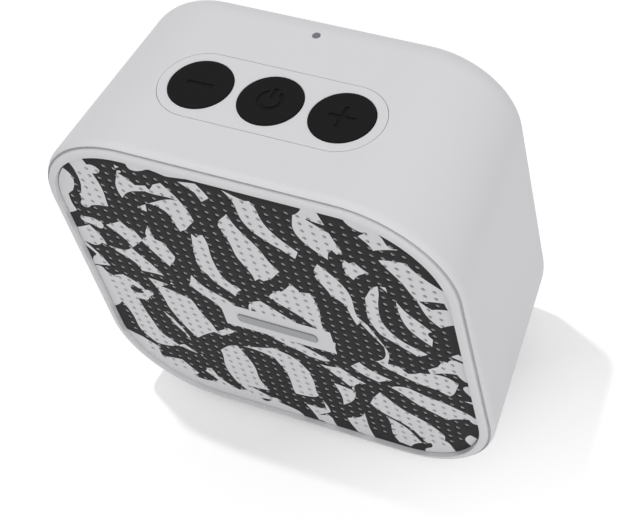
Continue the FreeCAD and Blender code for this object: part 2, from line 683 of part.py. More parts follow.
def make_driver_frame():
    """The pressed basket: a square flange, a tapered bell with four windows and a seat."""
    back = DRIVER_FACE + FRAME_T
    flange = rounded_plate(DRIVER_HALF, DRIVER_CORNER_R, DRIVER_FACE, back)
    hole = BASKET_TOP_R - BASKET_WALL
    seat = TOP_PLATE_FACE - FRAME_T
    bell = turned([(hole, back - FRAME_T), (BASKET_TOP_R, back - FRAME_T),
                   (BASKET_END_R, seat), (BASKET_END_R, TOP_PLATE_FACE), (GAP_R, TOP_PLATE_FACE),
                   (GAP_R, seat), (BASKET_END_R - BASKET_WALL, seat)])
    flange = flange.cut(rod_y(0, ZC, hole, DRIVER_FACE - 1, back + 1))
    frame = joined([flange, bell])
    reach = BASKET_TOP_R + PAST
    window = block(-WINDOW_HALF, WINDOW_HALF, back + WINDOW_MARGIN, seat - WINDOW_MARGIN, -reach, reach)
    for turn in (45, 135):
        window.Placement = FreeCAD.Placement(Vec(0, 0, ZC), FreeCAD.Rotation(Y_AXIS, turn))
        frame = frame.cut(window)
    cuts = [rod_y(sx * DRIVER_HOLE_AT, ZC + sz * DRIVER_HOLE_AT, SCREW_HOLE_R,
                  DRIVER_FACE - 1, back + 1) for sx, sz in corners()]
    return frame.cut(cuts)


def make_driver_screws():
    group = []
    for sx, sz in corners():
        group.append(screw_y(sx * DRIVER_HOLE_AT, ZC + sz * DRIVER_HOLE_AT, DRIVER_FACE + FRAME_T, 1,
                             SCREW_R, DRIVER_SCREW_L, SCREW_HEAD_R, SCREW_HEAD_H))
    return Part.makeCompound(group)


def make_top_plate():
    end = TOP_PLATE_FACE + TOP_PLATE_T
    ring = rod_y(0, ZC, TOP_PLATE_R, TOP_PLATE_FACE, end)
    return ring.cut(rod_y(0, ZC, GAP_R, TOP_PLATE_FACE - 1, end + 1))


def make_magnet():
    start = TOP_PLATE_FACE + TOP_PLATE_T
    ring = rod_y(0, ZC, MAGNET_R, start, YOKE_FACE)
    return ring.cut(rod_y(0, ZC, GAP_R + MAGNET_IN, start - 1, YOKE_FACE + 1))


def make_yoke():
    base = rod_y(0, ZC, YOKE_R, YOKE_FACE, YOKE_FACE + YOKE_T)
    pole = rod_y(0, ZC, POLE_R, TOP_PLATE_FACE, YOKE_FACE)
    return joined([base, pole])


def make_cone():
    """A straight-sided paper cone with a flat rim for the surround."""
    rim = DRIVER_FACE
    neck = rim + CONE_DEPTH
    return turned([(CONE_RIM_IN, rim), (CONE_R, rim), (CONE_R, rim + CONE_T),
                   (NECK_R + CONE_T, neck), (NECK_R, neck), (NECK_R, neck - CONE_T)])


def cone_y(radius):
    """Depth of the cone's front face at a radius."""
    share = (CONE_RIM_IN - radius) / (CONE_RIM_IN - NECK_R)
    return DRIVER_FACE + share * (CONE_DEPTH - CONE_T)


def make_dust_cap():
    """A thin dome seated on the cone."""
    base = cone_y(DUST_CAP_R)
    ball_r = (DUST_CAP_R ** 2 + DUST_CAP_RISE ** 2) / (2 * DUST_CAP_RISE)
    centre = Vec(0, base - DUST_CAP_RISE + ball_r, ZC)
    dome = Part.makeSphere(ball_r, centre).cut(Part.makeSphere(ball_r - DUST_CAP_T, centre))
    return dome.common(rod_y(0, ZC, DUST_CAP_R, base - DUST_CAP_RISE - 1, base))


def make_voice_coil():
    start = DRIVER_FACE + CONE_DEPTH
    middle = TOP_PLATE_FACE + TOP_PLATE_T / 2
    wire0 = middle - COIL_LENGTH / 2
    wire1 = middle + COIL_LENGTH / 2
    return turned([(NECK_R - COIL_WALL, start), (NECK_R, start), (NECK_R, wire0), (COIL_OUT_R, wire0),
                   (COIL_OUT_R, wire1), (NECK_R - COIL_WALL, wire1)])


def make_surround():
    """A half-roll rubber ring between the cone's rim and the frame."""
    base = DRIVER_FACE
    mid = (ROLL_IN_R + ROLL_OUT_R) / 2
    crest = base - ROLL_T - ROLL_RISE
    outer = ROLL_OUT_R + SURROUND_FLANGE
    top = base - ROLL_T

    def line(r0, y0, r1, y1):
        return Part.LineSegment(Vec(r0, y0, ZC), Vec(r1, y1, ZC)).toShape()

    def bow(r0, r1, y, peak):
        return Part.Arc(Vec(r0, y, ZC), Vec(mid, peak, ZC), Vec(r1, y, ZC)).toShape()

    edges = [line(CONE_RIM_IN, base, CONE_RIM_IN, top), line(CONE_RIM_IN, top, ROLL_IN_R - ROLL_T, top),
             bow(ROLL_IN_R - ROLL_T, ROLL_OUT_R + ROLL_T, top, crest),
             line(ROLL_OUT_R + ROLL_T, top, outer, top), line(outer, top, outer, base),
             line(outer, base, ROLL_OUT_R, base), bow(ROLL_OUT_R, ROLL_IN_R, base, crest + ROLL_T),
             line(ROLL_IN_R, base, CONE_RIM_IN, base)]
    face = Part.Face(Part.Wire(edges))
    return face.revolve(Vec(0, 0, ZC), Y_AXIS, 360)


def basket_inside(y):
    """Inner radius of the basket's bell at a depth."""
    seat = TOP_PLATE_FACE - FRAME_T
    share = (y - DRIVER_FACE) / (seat - DRIVER_FACE)
    return BASKET_TOP_R - BASKET_WALL - share * (BASKET_TOP_R - BASKET_END_R)


def make_spider():
    """A corrugated cloth disc that centres the voice coil."""
    at = TOP_PLATE_FACE - FRAME_T - SPIDER_BEFORE_SEAT
    inner = NECK_R + SPIDER_FIT
    outer = basket_inside(at + SPIDER_WAVE + SPIDER_T) - SPIDER_FIT
    front = []
    for i in range(SPIDER_RINGS + 1):
        wave = SPIDER_WAVE * (-1) ** i
        front.append((inner + (outer - inner) * i / SPIDER_RINGS, at + wave))
    back = [(r, y + SPIDER_T) for r, y in reversed(front)]
    return turned(front + back)


# ---- boards, ports, battery ---------------------------------------------------------------

def port_z():
    return MAIN_TOP + PORT_HEIGHT / 2


def jack_z():
    return MAIN_TOP + JACK_HEIGHT / 2


def port_shape(grow, y0, y1):
    """The charging port's outline, larger all round by grow."""
    half_x = PORT_WIDTH / 2 + grow
    half_z = PORT_HEIGHT / 2 + grow
    body = block(PORT_X - half_x, PORT_X + half_x, y0, y1, port_z() - half_z, port_z() + half_z)
    along = [e for e in body.Edges if e.BoundBox.YLength > 0.9 * (y1 - y0)]
    return body.makeFillet(half_z * 0.8, along)


def make_main_board():
    low = MAIN_TOP - BOARD_T
    board = block(-MAIN_HALF_X, MAIN_HALF_X, MAIN_FRONT, MAIN_BACK, low, MAIN_TOP)
    return board.cut([rod_z(x, y, SMALL_SCREW_HOLE_R, low - PAST, MAIN_TOP + PAST)
                      for x, y in main_bosses_at()])


def make_main_board_screws():
    group = []
    for x, y in main_bosses_at():
        body = small_screw()
        body.translate(Vec(x, y, MAIN_TOP))
        group.append(body)
    return Part.makeCompound(group)


def make_charging_port():
    """A metal shell with a tongue inside, its mouth towards the back."""
    mouth = Y_BACK - PORT_RECESS_DEPTH
    rear = mouth - PORT_LENGTH
    shell = port_shape(0, rear, mouth)
    shell = shell.cut(port_shape(-PORT_WALL, rear + 1.0, mouth + PAST))
    tongue = block(PORT_X - 3.3, PORT_X + 3.3, rear + 0.5, mouth - 0.6, port_z() - 0.35, port_z() + 0.35)
    return joined([shell, tongue])


def make_audio_jack():
    nose = Y_BACK - JACK_NOSE_SET
    front = nose - JACK_BORE_L - 1.0
    half = JACK_WIDTH / 2
    body = block(JACK_X - half, JACK_X + half, front, BACK_INSIDE - 0.2, MAIN_TOP,
                 MAIN_TOP + JACK_HEIGHT)
    body = joined([body, rod_y(JACK_X, jack_z(), JACK_NOSE_R * 0.98, BACK_INSIDE - 0.3, nose)])
    return body.cut(rod_y(JACK_X, jack_z(), JACK_BORE_R, nose - JACK_BORE_L, nose + PAST))


def on_board(x, back, half_x, half_y, height):
    """A block on the main board, its middle given across and back from the front edge."""
    y = MAIN_FRONT + back
    return block(x - half_x, x + half_x, y - half_y, y + half_y, MAIN_TOP, MAIN_TOP + height)


def make_board_sockets():
    """Three wire-to-board sockets, for the driver, the battery and the button board."""
    places = [SPEAKER_SOCKET, BATTERY_SOCKET, BUTTON_SOCKET]
    group = [on_board(x, back, SOCKET_HALF_X, SOCKET_HALF_Y, SOCKET_H) for x, back in places]
    return Part.makeCompound(group)


def make_board_chips():
    """Radio module, amplifier, power chips, an inductor and two capacitors."""
    radio = on_board(-4.0, 6.0, 5.0, 5.0, 1.2)
    amplifier = on_board(4.5, 10.5, 2.5, 2.5, 0.9)
    charger = on_board(-11.0, 15.0, 2.0, 2.0, 0.9)
    inductor = on_board(3.5, 16.5, 2.2, 2.2, 2.4)
    capacitors = [rod_z(x, MAIN_FRONT + 3.5, 1.9, MAIN_TOP, MAIN_TOP + 3.6) for x in (-12.5, 7.5)]
    return Part.makeCompound([radio, amplifier, charger, inductor] + capacitors)


def make_battery():
    back = BACK_INSIDE - TAPE_T
    cell = block(-BATTERY_HALF_X, BATTERY_HALF_X, back - BATTERY_T, back, ZC + BATTERY_BOTTOM,
                 ZC + BATTERY_TOP)
    tall = [e for e in cell.Edges if e.BoundBox.ZLength > 0.9 * (BATTERY_TOP - BATTERY_BOTTOM)]
    return cell.makeFillet(BATTERY_EDGE_R, tall)


def make_battery_tape():
    half = BATTERY_HALF_X - TAPE_INSET
    return block(-half, half, BACK_INSIDE - TAPE_T, BACK_INSIDE, ZC + BATTERY_BOTTOM + TAPE_INSET,
                 ZC + BATTERY_TOP - TAPE_INSET)


def make_battery_lead():
    """From the underside of the cell down to its socket."""
    x = BATTERY_SOCKET[0]
    y = MAIN_FRONT + BATTERY_SOCKET[1]
    low = MAIN_TOP + SOCKET_H
    high = ZC + BATTERY_BOTTOM
    mid = BACK_INSIDE - TAPE_T - BATTERY_T / 2
    run = (high - low) * 0.44
    points = [Vec(x, mid, high), Vec(x, mid, high - run), Vec(x, y, low + run), Vec(x, y, low)]
    return tube(points, LEAD_R)


def make_driver_terminal():
    """An insulated tag strip riveted under the frame's flange."""
    back = DRIVER_FACE + FRAME_T
    x = SPEAKER_SOCKET[0]
    half = TERMINAL_WIDTH / 2
    low = ZC - DRIVER_HALF + TERMINAL_UP
    return block(x - half, x + half, back, back + TERMINAL_T, low, low + TERMINAL_HEIGHT)


def make_driver_lead():
    """From the tag strip to the front of its socket on the main board."""
    x = SPEAKER_SOCKET[0]
    start_y = DRIVER_FACE + FRAME_T + TERMINAL_T
    high = ZC - DRIVER_HALF + TERMINAL_UP + TERMINAL_HEIGHT / 2
    low = MAIN_TOP + SOCKET_H / 2
    end_y = MAIN_FRONT + SPEAKER_SOCKET[1] - SOCKET_HALF_Y
    run = (end_y - start_y) * 0.3
    points = [Vec(x, start_y, high), Vec(x, start_y + run, high), Vec(x, end_y - run, low),
              Vec(x, end_y, low)]
    return tube(points, LEAD_R)


def make_button_socket():
    """The button board's own socket, on its underside."""
    x = BUTTON_SOCKET[0]
    low = TOP_BOARD_FACE - BOARD_T
    return on_top(block(x - SOCKET_HALF_Y, x + SOCKET_HALF_X, TOP_SOCKET_BACK - SOCKET_HALF_Y,
                        TOP_SOCKET_BACK + SOCKET_HALF_Y, low - TOP_SOCKET_H, low))


def make_button_lead():
    """Down beside the magnet, from the button board to the main board."""
    x = BUTTON_SOCKET[0]
    y = MAIN_FRONT + BUTTON_SOCKET[1]
    socket = make_button_socket()
    start_y = (socket.BoundBox.YMin + socket.BoundBox.YMax) / 2
    under = socket.common(rod_z(x, start_y, LEAD_R, 0, 2 * WIDTH))
    top = under.BoundBox.ZMin - LEAD_END_GAP
    low = MAIN_TOP + SOCKET_H
    run = (top - low) * 0.2
    middle = Vec(x - LEAD_SLACK, (start_y + y) / 2, (top + low) / 2)
    points = [Vec(x, start_y, top), Vec(x, start_y, top - run), middle, Vec(x, y, low + run),
              Vec(x, y, low)]
    return tube(points, LEAD_R)


# ---- feet ---------------------------------------------------------------------------------

def foot(x, radius):
    """A rubber wedge that levels the sloping underside; its top follows the slope."""
    plan = [rod_z(x, y, radius, 0, WIDTH / 2) for y in (FOOT_FRONT_Y, FOOT_BACK_Y)]
    plan.append(block(x - radius, x + radius, FOOT_FRONT_Y, FOOT_BACK_Y, 0, WIDTH / 2))
    under = ZC - half_at(Y_FRONT) + FOOT_SEAT
    edge = x - radius - PAST
    over = [Vec(edge, Y_FRONT, under), Vec(edge, Y_BACK, under + DEPTH * SLOPE),
            Vec(edge, Y_BACK, WIDTH), Vec(edge, Y_FRONT, WIDTH), Vec(edge, Y_FRONT, under)]
    above = Part.Face(Part.makePolygon(over)).extrude(Vec(2 * (radius + PAST), 0, 0))
    return joined(plan).cut(above)


def make_feet():
    return Part.makeCompound([foot(x, FOOT_R) for x in (-FOOT_X, FOOT_X)])


def main():
    nodes = {
        "housing": make_housing(),
        "front_bezel": make_front_bezel(),
        "grille": make_grille(),
        "grille_cloth": make_grille_cloth(),
        "badge": make_badge(),
        "baffle": make_baffle(),
        "baffle_screws": make_baffle_screws(),
        "button_plate": make_button_plate(),
        "button_minus": make_button(-BUTTON_PITCH, minus_icon),
        "button_power": make_button(0, power_icon),
        "button_plus": make_button(BUTTON_PITCH, plus_icon),
        "plunger_minus": make_plunger(-BUTTON_PITCH),
        "plunger_power": make_plunger(0),
        "plunger_plus": make_plunger(BUTTON_PITCH),
        "switch_bodies": make_switch_bodies(),
        "button_board": make_button_board(),
        "button_board_screws": make_button_board_screws(),
        "button_board_socket": make_button_socket(),
        "light_pipe": make_light_pipe(),
        "status_led": make_status_led(),
        "microphone": make_microphone(),
        "mic_boot": make_mic_boot(),
        "driver_gasket": make_driver_gasket(),
        "driver_frame": make_driver_frame(),
        "driver_screws": make_driver_screws(),
        "driver_top_plate": make_top_plate(),
        "driver_magnet": make_magnet(),
        "driver_yoke": make_yoke(),
        "driver_surround": make_surround(),
        "driver_spider": make_spider(),
        "driver_cone": make_cone(),
        "driver_dust_cap": make_dust_cap(),
        "voice_coil": make_voice_coil(),
        "driver_terminal": make_driver_terminal(),
        "driver_lead": make_driver_lead(),
        "main_board": make_main_board(),
        "main_board_screws": make_main_board_screws(),
        "board_sockets": make_board_sockets(),
        "board_chips": make_board_chips(),
        "charging_port": make_charging_port(),
        "audio_jack": make_audio_jack(),
        "battery": make_battery(),
        "battery_tape": make_battery_tape(),
        "battery_lead": make_battery_lead(),
        "button_lead": make_button_lead(),
        "feet": make_feet(),
    }
    os.makedirs("parts", exist_ok=True)
    for name, shape in nodes.items():
        shape.exportStep("parts/" + name + ".step")
        box = shape.BoundBox
        print(name, len(shape.Solids), shape.isValid(), round(shape.Volume, 1),
              "x %.2f %.2f y %.2f %.2f z %.2f %.2f" % (box.XMin, box.XMax, box.YMin, box.YMax,
                                                      box.ZMin, box.ZMax))


main()
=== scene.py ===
"""Small cube loudspeaker: perforated printed front, moulded white housing, three soft keys.

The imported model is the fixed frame. This file gives each part its finish, makes the front
sheet with its real perforations and the two soft rings of the drive unit, and sets up the
stage. Lengths are metres, +Z is up, the grille faces -Y and +X is to the right as seen from
the front.
"""

import math

import bpy
import numpy as np
from bpy.props import FloatProperty, FloatVectorProperty, PointerProperty
from mathutils import Matrix, Vector


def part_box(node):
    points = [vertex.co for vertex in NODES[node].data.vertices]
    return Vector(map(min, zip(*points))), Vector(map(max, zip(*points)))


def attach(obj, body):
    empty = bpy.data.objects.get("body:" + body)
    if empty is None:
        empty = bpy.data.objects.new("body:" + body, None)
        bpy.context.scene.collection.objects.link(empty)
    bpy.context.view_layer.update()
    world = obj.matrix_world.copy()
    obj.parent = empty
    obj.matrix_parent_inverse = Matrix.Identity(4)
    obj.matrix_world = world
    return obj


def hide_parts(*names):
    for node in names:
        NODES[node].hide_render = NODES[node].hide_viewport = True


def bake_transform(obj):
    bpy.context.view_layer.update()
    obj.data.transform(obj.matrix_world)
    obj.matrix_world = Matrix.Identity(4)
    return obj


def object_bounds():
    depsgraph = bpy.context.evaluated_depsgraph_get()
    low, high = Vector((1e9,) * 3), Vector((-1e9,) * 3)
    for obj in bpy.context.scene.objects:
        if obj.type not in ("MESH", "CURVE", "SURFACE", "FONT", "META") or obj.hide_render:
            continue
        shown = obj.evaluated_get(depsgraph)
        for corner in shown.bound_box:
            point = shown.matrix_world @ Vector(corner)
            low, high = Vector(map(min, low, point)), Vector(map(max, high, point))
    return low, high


bl_info = {
    "name": "Cube loudspeaker",
    "version": (1, 0, 0),
    "blender": (4, 5, 0),
    "location": "3D View > Sidebar > Loudspeaker",
    "description": "Finishes, front sheet, soft rings and stage of a cube loudspeaker",
    "category": "Add Mesh",
}

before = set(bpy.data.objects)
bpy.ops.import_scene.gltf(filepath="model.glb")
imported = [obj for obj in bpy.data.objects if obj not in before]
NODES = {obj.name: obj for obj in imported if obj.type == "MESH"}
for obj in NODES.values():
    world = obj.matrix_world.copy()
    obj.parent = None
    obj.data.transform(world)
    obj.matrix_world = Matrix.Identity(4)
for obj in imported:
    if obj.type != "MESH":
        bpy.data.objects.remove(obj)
CAD_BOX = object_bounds()
MM = 0.001


# ---- colours ------------------------------------------------------------------------------

def linear(hex_colour):
    """An sRGB hex colour as linear red, green and blue."""
    parts = np.array([int(hex_colour[i:i + 2], 16) for i in (1, 3, 5)]) / 255.0
    bent = ((parts + 0.055) / 1.055) ** 2.4
    return tuple(float(v) for v in np.where(parts <= 0.04045, parts / 12.92, bent))


def colour_property(name, hex_colour, description):
    """A colour, given as sRGB hex and kept as linear values."""
    return FloatVectorProperty(
        name=name, description=description, subtype="COLOR", size=3, min=0.0, max=1.0,
        default=linear(hex_colour),
    )


def length_property(name, millimetres, description):
    """A length, given in millimetres and kept in metres."""
    return FloatProperty(
        name=name, description=description, subtype="DISTANCE", unit="LENGTH", min=0.0,
        precision=5, default=millimetres * MM,
    )


def angle_property(name, degrees, description):
    """An angle, given in degrees and kept in radians."""
    return FloatProperty(
        name=name, description=description, subtype="ANGLE", unit="ROTATION",
        default=math.radians(degrees),
    )


# ---- what a user would change -------------------------------------------------------------

class LoudspeakerSheet(bpy.types.PropertyGroup):
    """Sizes and colours of the perforated and printed front sheet."""

    # Three pitches reach the 6.5 mm from the middle to a badge pin.
    pitch: length_property("Pitch", 6.5 / 3, "Distance between perforations, both ways")
    hole: length_property("Hole", 0.9, "Diameter of a perforation")
    pin_hole: length_property("Pin hole", 1.27, "Diameter of the two holes that hold the badge")
    margin: length_property("Margin", 2.2, "Plain rim, from the edge to a hole's middle")
    corner_at: length_property("Corner centre", 20.9, "From the middle to a corner's centre")
    rolled: length_property("Rolled edge", 0.06, "Rounding of each edge by punching and coating")
    draft: angle_property("Draft", 6.2, "Slope of the sheet's outer edge towards the back")
    field_x: length_property("Field length", 11.9, "Half length of the plain field")
    field_z: length_property("Field height", 3.8, "Half height of the plain field")
    ink_reach: length_property("Ink reach", 0.17, "How far the ink runs down a hole's wall")
    white: colour_property("Coating", "#DBDBDD", "White powder coat")
    ink: colour_property("Ink", "#1A1A1C", "Black screen print")


class LoudspeakerFinishes(bpy.types.PropertyGroup):
    """Colours of the parts that show from outside."""

    housing: colour_property("Housing", "#D8D8DB", "Moulded white of the housing")
    bezel: colour_property("Bezel", "#D7D7D9", "Moulded white of the front ring")
    plate: colour_property("Key plate", "#D8D8DB", "Moulded white round the keys")
    keys: colour_property("Keys", "#121213", "Black silicone of the three keys")
    badge: colour_property("Badge", "#9A9B9E", "Brushed aluminium of the bare badge")
    cloth: colour_property("Cloth", "#161617", "Acoustic cloth behind the perforations")
    light_pipe: colour_property("Light pipe", "#6F6B78", "Smoked acrylic of the status light")
    feet: colour_property("Feet", "#3A3A3C", "Rubber of the two runners")


class LoudspeakerSuspension(bpy.types.PropertyGroup):
    """Sizes of the two rings that hold the cone."""

    cone_rim: length_property("Cone rim", 18.6, "Inner radius of the surround's inner foot")
    roll_inside: length_property("Roll inside", 19.4, "Inner radius of the half roll")
    roll_outside: length_property("Roll outside", 22.2, "Outer radius of the half roll")
    roll_wall: length_property("Roll wall", 0.35, "Wall of the rubber surround")
    pleat_hole: length_property("Ring hole", 10.2, "Inner radius of the pleated centring ring")
    pleat_wall: length_property("Pleat wall", 0.4, "Thickness of the pleated centring ring")


class LoudspeakerStage(bpy.types.PropertyGroup):
    """Camera, floor and light."""

    azimuth: angle_property("Azimuth", 38.74, "Camera to the right of straight ahead")
    elevation: angle_property("Elevation", 53.15, "Camera above the floor")
    roll: angle_property("Roll", -17.77, "Turn of the camera about its own axis")
    distance: length_property("Distance", 379.6, "From the camera to the point it aims at")
    aim: FloatVectorProperty(
        name="Aim", description="The point that the camera aims at", subtype="TRANSLATION",
        unit="LENGTH", size=3, precision=5, default=(2.40 * MM, -5.32 * MM, 39.46 * MM),
    )
    lens: FloatProperty(
        name="Lens", description="Focal length on a 36 mm wide sensor, in millimetres",
        default=109.5, min=10.0,
    )
    floor: colour_property("Floor", "#D6D6D7", "Pale floor")
    world: FloatProperty(
        name="World", description="Strength of the even light from all round",
        default=0.6, min=0.0,
    )
    overhead: FloatProperty(
        name="Overhead lamp", description="Power of the small lamp overhead, in watts",
        default=25.0, min=0.0,
    )
    fill: FloatProperty(
        name="Fill lamp", description="Power of the large lamp in front on the right, in watts",
        default=6.0, min=0.0,
    )


# ---- meshes -------------------------------------------------------------------------------

def new_piece(name, points, faces):
    """A mesh object at the origin from points (n, 3) and a list of face arrays (m, k)."""
    mesh = bpy.data.meshes.new(name)
    corners = np.concatenate([f.ravel() for f in faces])
    sizes = np.concatenate([np.full(len(f), f.shape[1]) for f in faces])
    starts = np.concatenate([[0], np.cumsum(sizes)[:-1]])
    mesh.vertices.add(len(points))
    mesh.vertices.foreach_set("co", np.asarray(points, np.float32).ravel())
    mesh.loops.add(len(corners))
    mesh.loops.foreach_set("vertex_index", corners.astype(np.int32))
    mesh.polygons.add(len(sizes))
    mesh.polygons.foreach_set("loop_start", starts.astype(np.int32))
    mesh.update(calc_edges=True)
    mesh.validate()
    made = bpy.data.objects.new(name, mesh)
    bpy.context.scene.collection.objects.link(made)
    return made


def ring_faces(a, b):
    """Quads between two rings of point numbers, shaped (..., n), closed round the last axis."""
    quads = np.stack([a, np.roll(a, -1, -1), np.roll(b, -1, -1), b], -1)
    return quads.reshape(-1, 4)


def rounded_square_depth(x, z, half, corner_at):
    """Distance inside a rounded square: the half width less the distance to its core square."""
    past_x = np.maximum(np.abs(x) - corner_at, 0.0)
    past_z = np.maximum(np.abs(z) - corner_at, 0.0)
    return (half - corner_at) - np.hypot(past_x, past_z)


def cast_to_outline(x, z, half, corner_at):
    """Where the ray from the middle through (x, z) leaves a rounded square.

    It meets the flat sides at half over the larger part of its direction. Where both parts
    there lie past the corner centre, it meets the corner's circle instead, at the larger root
    of the circle's equation.
    """
    size = np.hypot(x, z)
    dx, dz = x / size, z / size
    flat = half / np.maximum(np.abs(dx), np.abs(dz))
    past = np.minimum(np.abs(dx), np.abs(dz)) * flat > corner_at
    along = corner_at * (np.abs(dx) + np.abs(dz))
    radius = half - corner_at
    root = np.sqrt(np.maximum(along ** 2 - 2 * corner_at ** 2 + radius ** 2, 0.0))
    reach = np.where(past, along + root, flat)
    return dx * reach, dz * reach


def edge_corners(filled):
    """The lattice corners on the edge of a filled patch of cells, in the lattice's order.

    A corner is on the edge if the four cells that meet there are not all alike.
    """
    padded = np.pad(filled, 1).astype(int)
    around = padded[:-1, :-1] + padded[1:, :-1] + padded[:-1, 1:] + padded[1:, 1:]
    return np.argwhere((around > 0) & (around < 4))


def perforated_sheet(sheet, badge_z, low, high):
    """The front sheet: a lattice of square cells with a round hole each, inside a plain rim.

    Round each cell run twelve points, four corners and two to a side, and round its hole
    twelve more at the same angles. Quads join the two on the face and on the back, with a
    small chamfer and a wall between. The plain rim is a strip from the lattice's stepped
    edge out along rays from the middle to the rounded square outline.
    """
    around = 12                 # points round a hole, and round its cell
    half = (high.x - low.x) / 2
    mid_z = (high.z + low.z) / 2
    corner_at = sheet.corner_at
    face_y, back_y = low.y, high.y
    pitch, rolled = sheet.pitch, sheet.rolled
    eased = 0.3 * rolled        # a point part of the way round a rolled edge
    pin_at = 3 * pitch          # the badge's pins pass through holes three columns out
    badge_z = badge_z - mid_z

    # One column runs up the middle, and the rows stand half a pitch off it.
    count = int(half / pitch) + 1
    col = np.arange(-count, count + 1)
    row = np.arange(-count - 1, count + 1)
    cx, cz = np.meshgrid(col * pitch, (row + 0.5) * pitch, indexing="ij")
    inside = rounded_square_depth(cx, cz, half, corner_at) >= sheet.margin

    # Shared lattice points: a grid three times finer than the cells holds every cell's rim.
    fine_x = (np.arange(3 * len(col) + 1) / 3 - 0.5) * pitch + col[0] * pitch
    fine_z = (np.arange(3 * len(row) + 1) / 3) * pitch + row[0] * pitch
    gx, gz = np.meshgrid(fine_x, fine_z, indexing="ij")
    number = np.arange(gx.size).reshape(gx.shape)
    i, k = np.nonzero(inside)
    steps = np.array(
        [(3, 1), (3, 2), (3, 3), (2, 3), (1, 3), (0, 3),
         (0, 2), (0, 1), (0, 0), (1, 0), (2, 0), (3, 0)]
    )
    rim = number[3 * i[:, None] + steps[:, 0], 3 * k[:, None] + steps[:, 1]]

    x0, z0 = cx[inside], cz[inside]
    plain = (np.abs(x0) < sheet.field_x) & (np.abs(z0 - badge_z) < sheet.field_z)
    # The two pins' holes, on the row nearest to the badge's middle.
    pin = plain & (np.abs(np.abs(x0) - pin_at) < 0.1 * pitch)
    pin &= np.abs(z0 - badge_z) < 0.4 * pitch
    radius = np.where(pin, sheet.pin_hole / 2, sheet.hole / 2)
    open_cell = ~plain | pin
    angle = np.radians((np.arange(around) - 0.5) * 360 / around)
    ox, oz, hole_r = x0[open_cell], z0[open_cell], radius[open_cell]

    def circle(grow, y):
        """Points round every hole at y, its radius larger by grow."""
        r = hole_r[:, None] + grow
        px = ox[:, None] + r * np.cos(angle)
        pz = oz[:, None] + r * np.sin(angle)
        return np.stack([px, np.full_like(px, y), pz], -1).reshape(-1, 3)

    # The rim strip: every lattice point on the stepped edge, three to a cell side, put in
    # order by its direction from the middle.
    fine_inside = np.repeat(np.repeat(inside, 3, 0), 3, 1)
    edge = edge_corners(fine_inside)
    turn = np.arctan2(gz[edge[:, 0], edge[:, 1]], gx[edge[:, 0], edge[:, 1]])
    reach = np.hypot(gz[edge[:, 0], edge[:, 1]], gx[edge[:, 0], edge[:, 1]])
    order = np.lexsort((reach, np.round(turn, 9)))
    edge = edge[order]
    ex, ez = gx[edge[:, 0], edge[:, 1]], gz[edge[:, 0], edge[:, 1]]
    edge_front = number[edge[:, 0], edge[:, 1]]

    def outline(inset, y):
        """Points on the sheet's outline at y, drawn in by inset."""
        px, pz = cast_to_outline(ex, ez, half - inset, corner_at)
        return np.stack([px, np.full_like(px, y), pz], -1)

    draft = (back_y - face_y) * math.tan(sheet.draft)
    blocks = [
        np.stack([gx, np.full_like(gx, face_y), gz], -1).reshape(-1, 3),
        np.stack([gx, np.full_like(gx, back_y), gz], -1).reshape(-1, 3),
        circle(rolled, face_y),
        circle(eased, face_y + eased),
        circle(0.0, face_y + rolled),
        circle(0.0, back_y - rolled),
        circle(rolled, back_y),
        outline(rolled, face_y),
        outline(eased, face_y + eased),
        outline(0.0, face_y + rolled),
        outline(draft, back_y),
    ]
    offset = np.concatenate([[0], np.cumsum([len(b) for b in blocks])])
    holes = [offset[n] + np.arange(len(ox) * around).reshape(-1, around) for n in range(2, 7)]
    rings = [offset[n] + np.arange(len(edge)) for n in range(7, 11)]
    back = offset[1]
    rim_open, rim_plain = rim[open_cell], rim[~open_cell]
    edge_back = back + edge_front
    faces = [
        ring_faces(rim_open, holes[0]),
        ring_faces(edge_front[None], rings[0][None])[:, ::-1],
        rim_plain,
        ring_faces(holes[0], holes[1]),
        ring_faces(holes[1], holes[2]),
        ring_faces(holes[2], holes[3]),
        ring_faces(holes[3], holes[4]),
        ring_faces(holes[4], back + rim_open),
        rim_plain[:, ::-1] + back,
        ring_faces(rings[0][None], rings[1][None])[:, ::-1],
        ring_faces(rings[1][None], rings[2][None])[:, ::-1],
        ring_faces(rings[2][None], rings[3][None])[:, ::-1],
        ring_faces(rings[3][None], edge_back[None])[:, ::-1],
    ]
    points = np.concatenate(blocks)
    points[:, 2] += mid_z
    used = np.unique(np.concatenate([f.ravel() for f in faces]))
    renumber = np.full(len(points), -1)
    renumber[used] = np.arange(len(used))
    return points[used], [renumber[f] for f in faces]


def half_roll(inner, outer, y, rise):
    """The section of a roll between two radii: a circle's arc that stands rise in front of y.

    Its half angle is twice the arctangent of the rise over half the width.
    """
    steps = 15
    half = (outer - inner) / 2
    size = (half ** 2 + rise ** 2) / (2 * rise)
    turn = 2 * np.arctan2(rise, half) * np.linspace(-1.0, 1.0, steps)
    return np.stack([inner + half + size * np.sin(turn),
                     y - rise + size * (1 - np.cos(turn))], -1)


def roll_section(ring, low, high):
    """The surround's closed section: a flat foot, a half roll of even wall, a flat foot."""
    base, front = high.y, high.y - ring.roll_wall
    rise, edge = front - low.y, (high.x - low.x) / 2
    over = half_roll(ring.roll_inside - ring.roll_wall, ring.roll_outside + ring.roll_wall,
                     front, rise)
    under = half_roll(ring.roll_inside, ring.roll_outside, base, rise)
    return np.concatenate([
        [(ring.cone_rim, base), (ring.cone_rim, front)], over,
        [(edge, front), (edge, base)], under[::-1]])


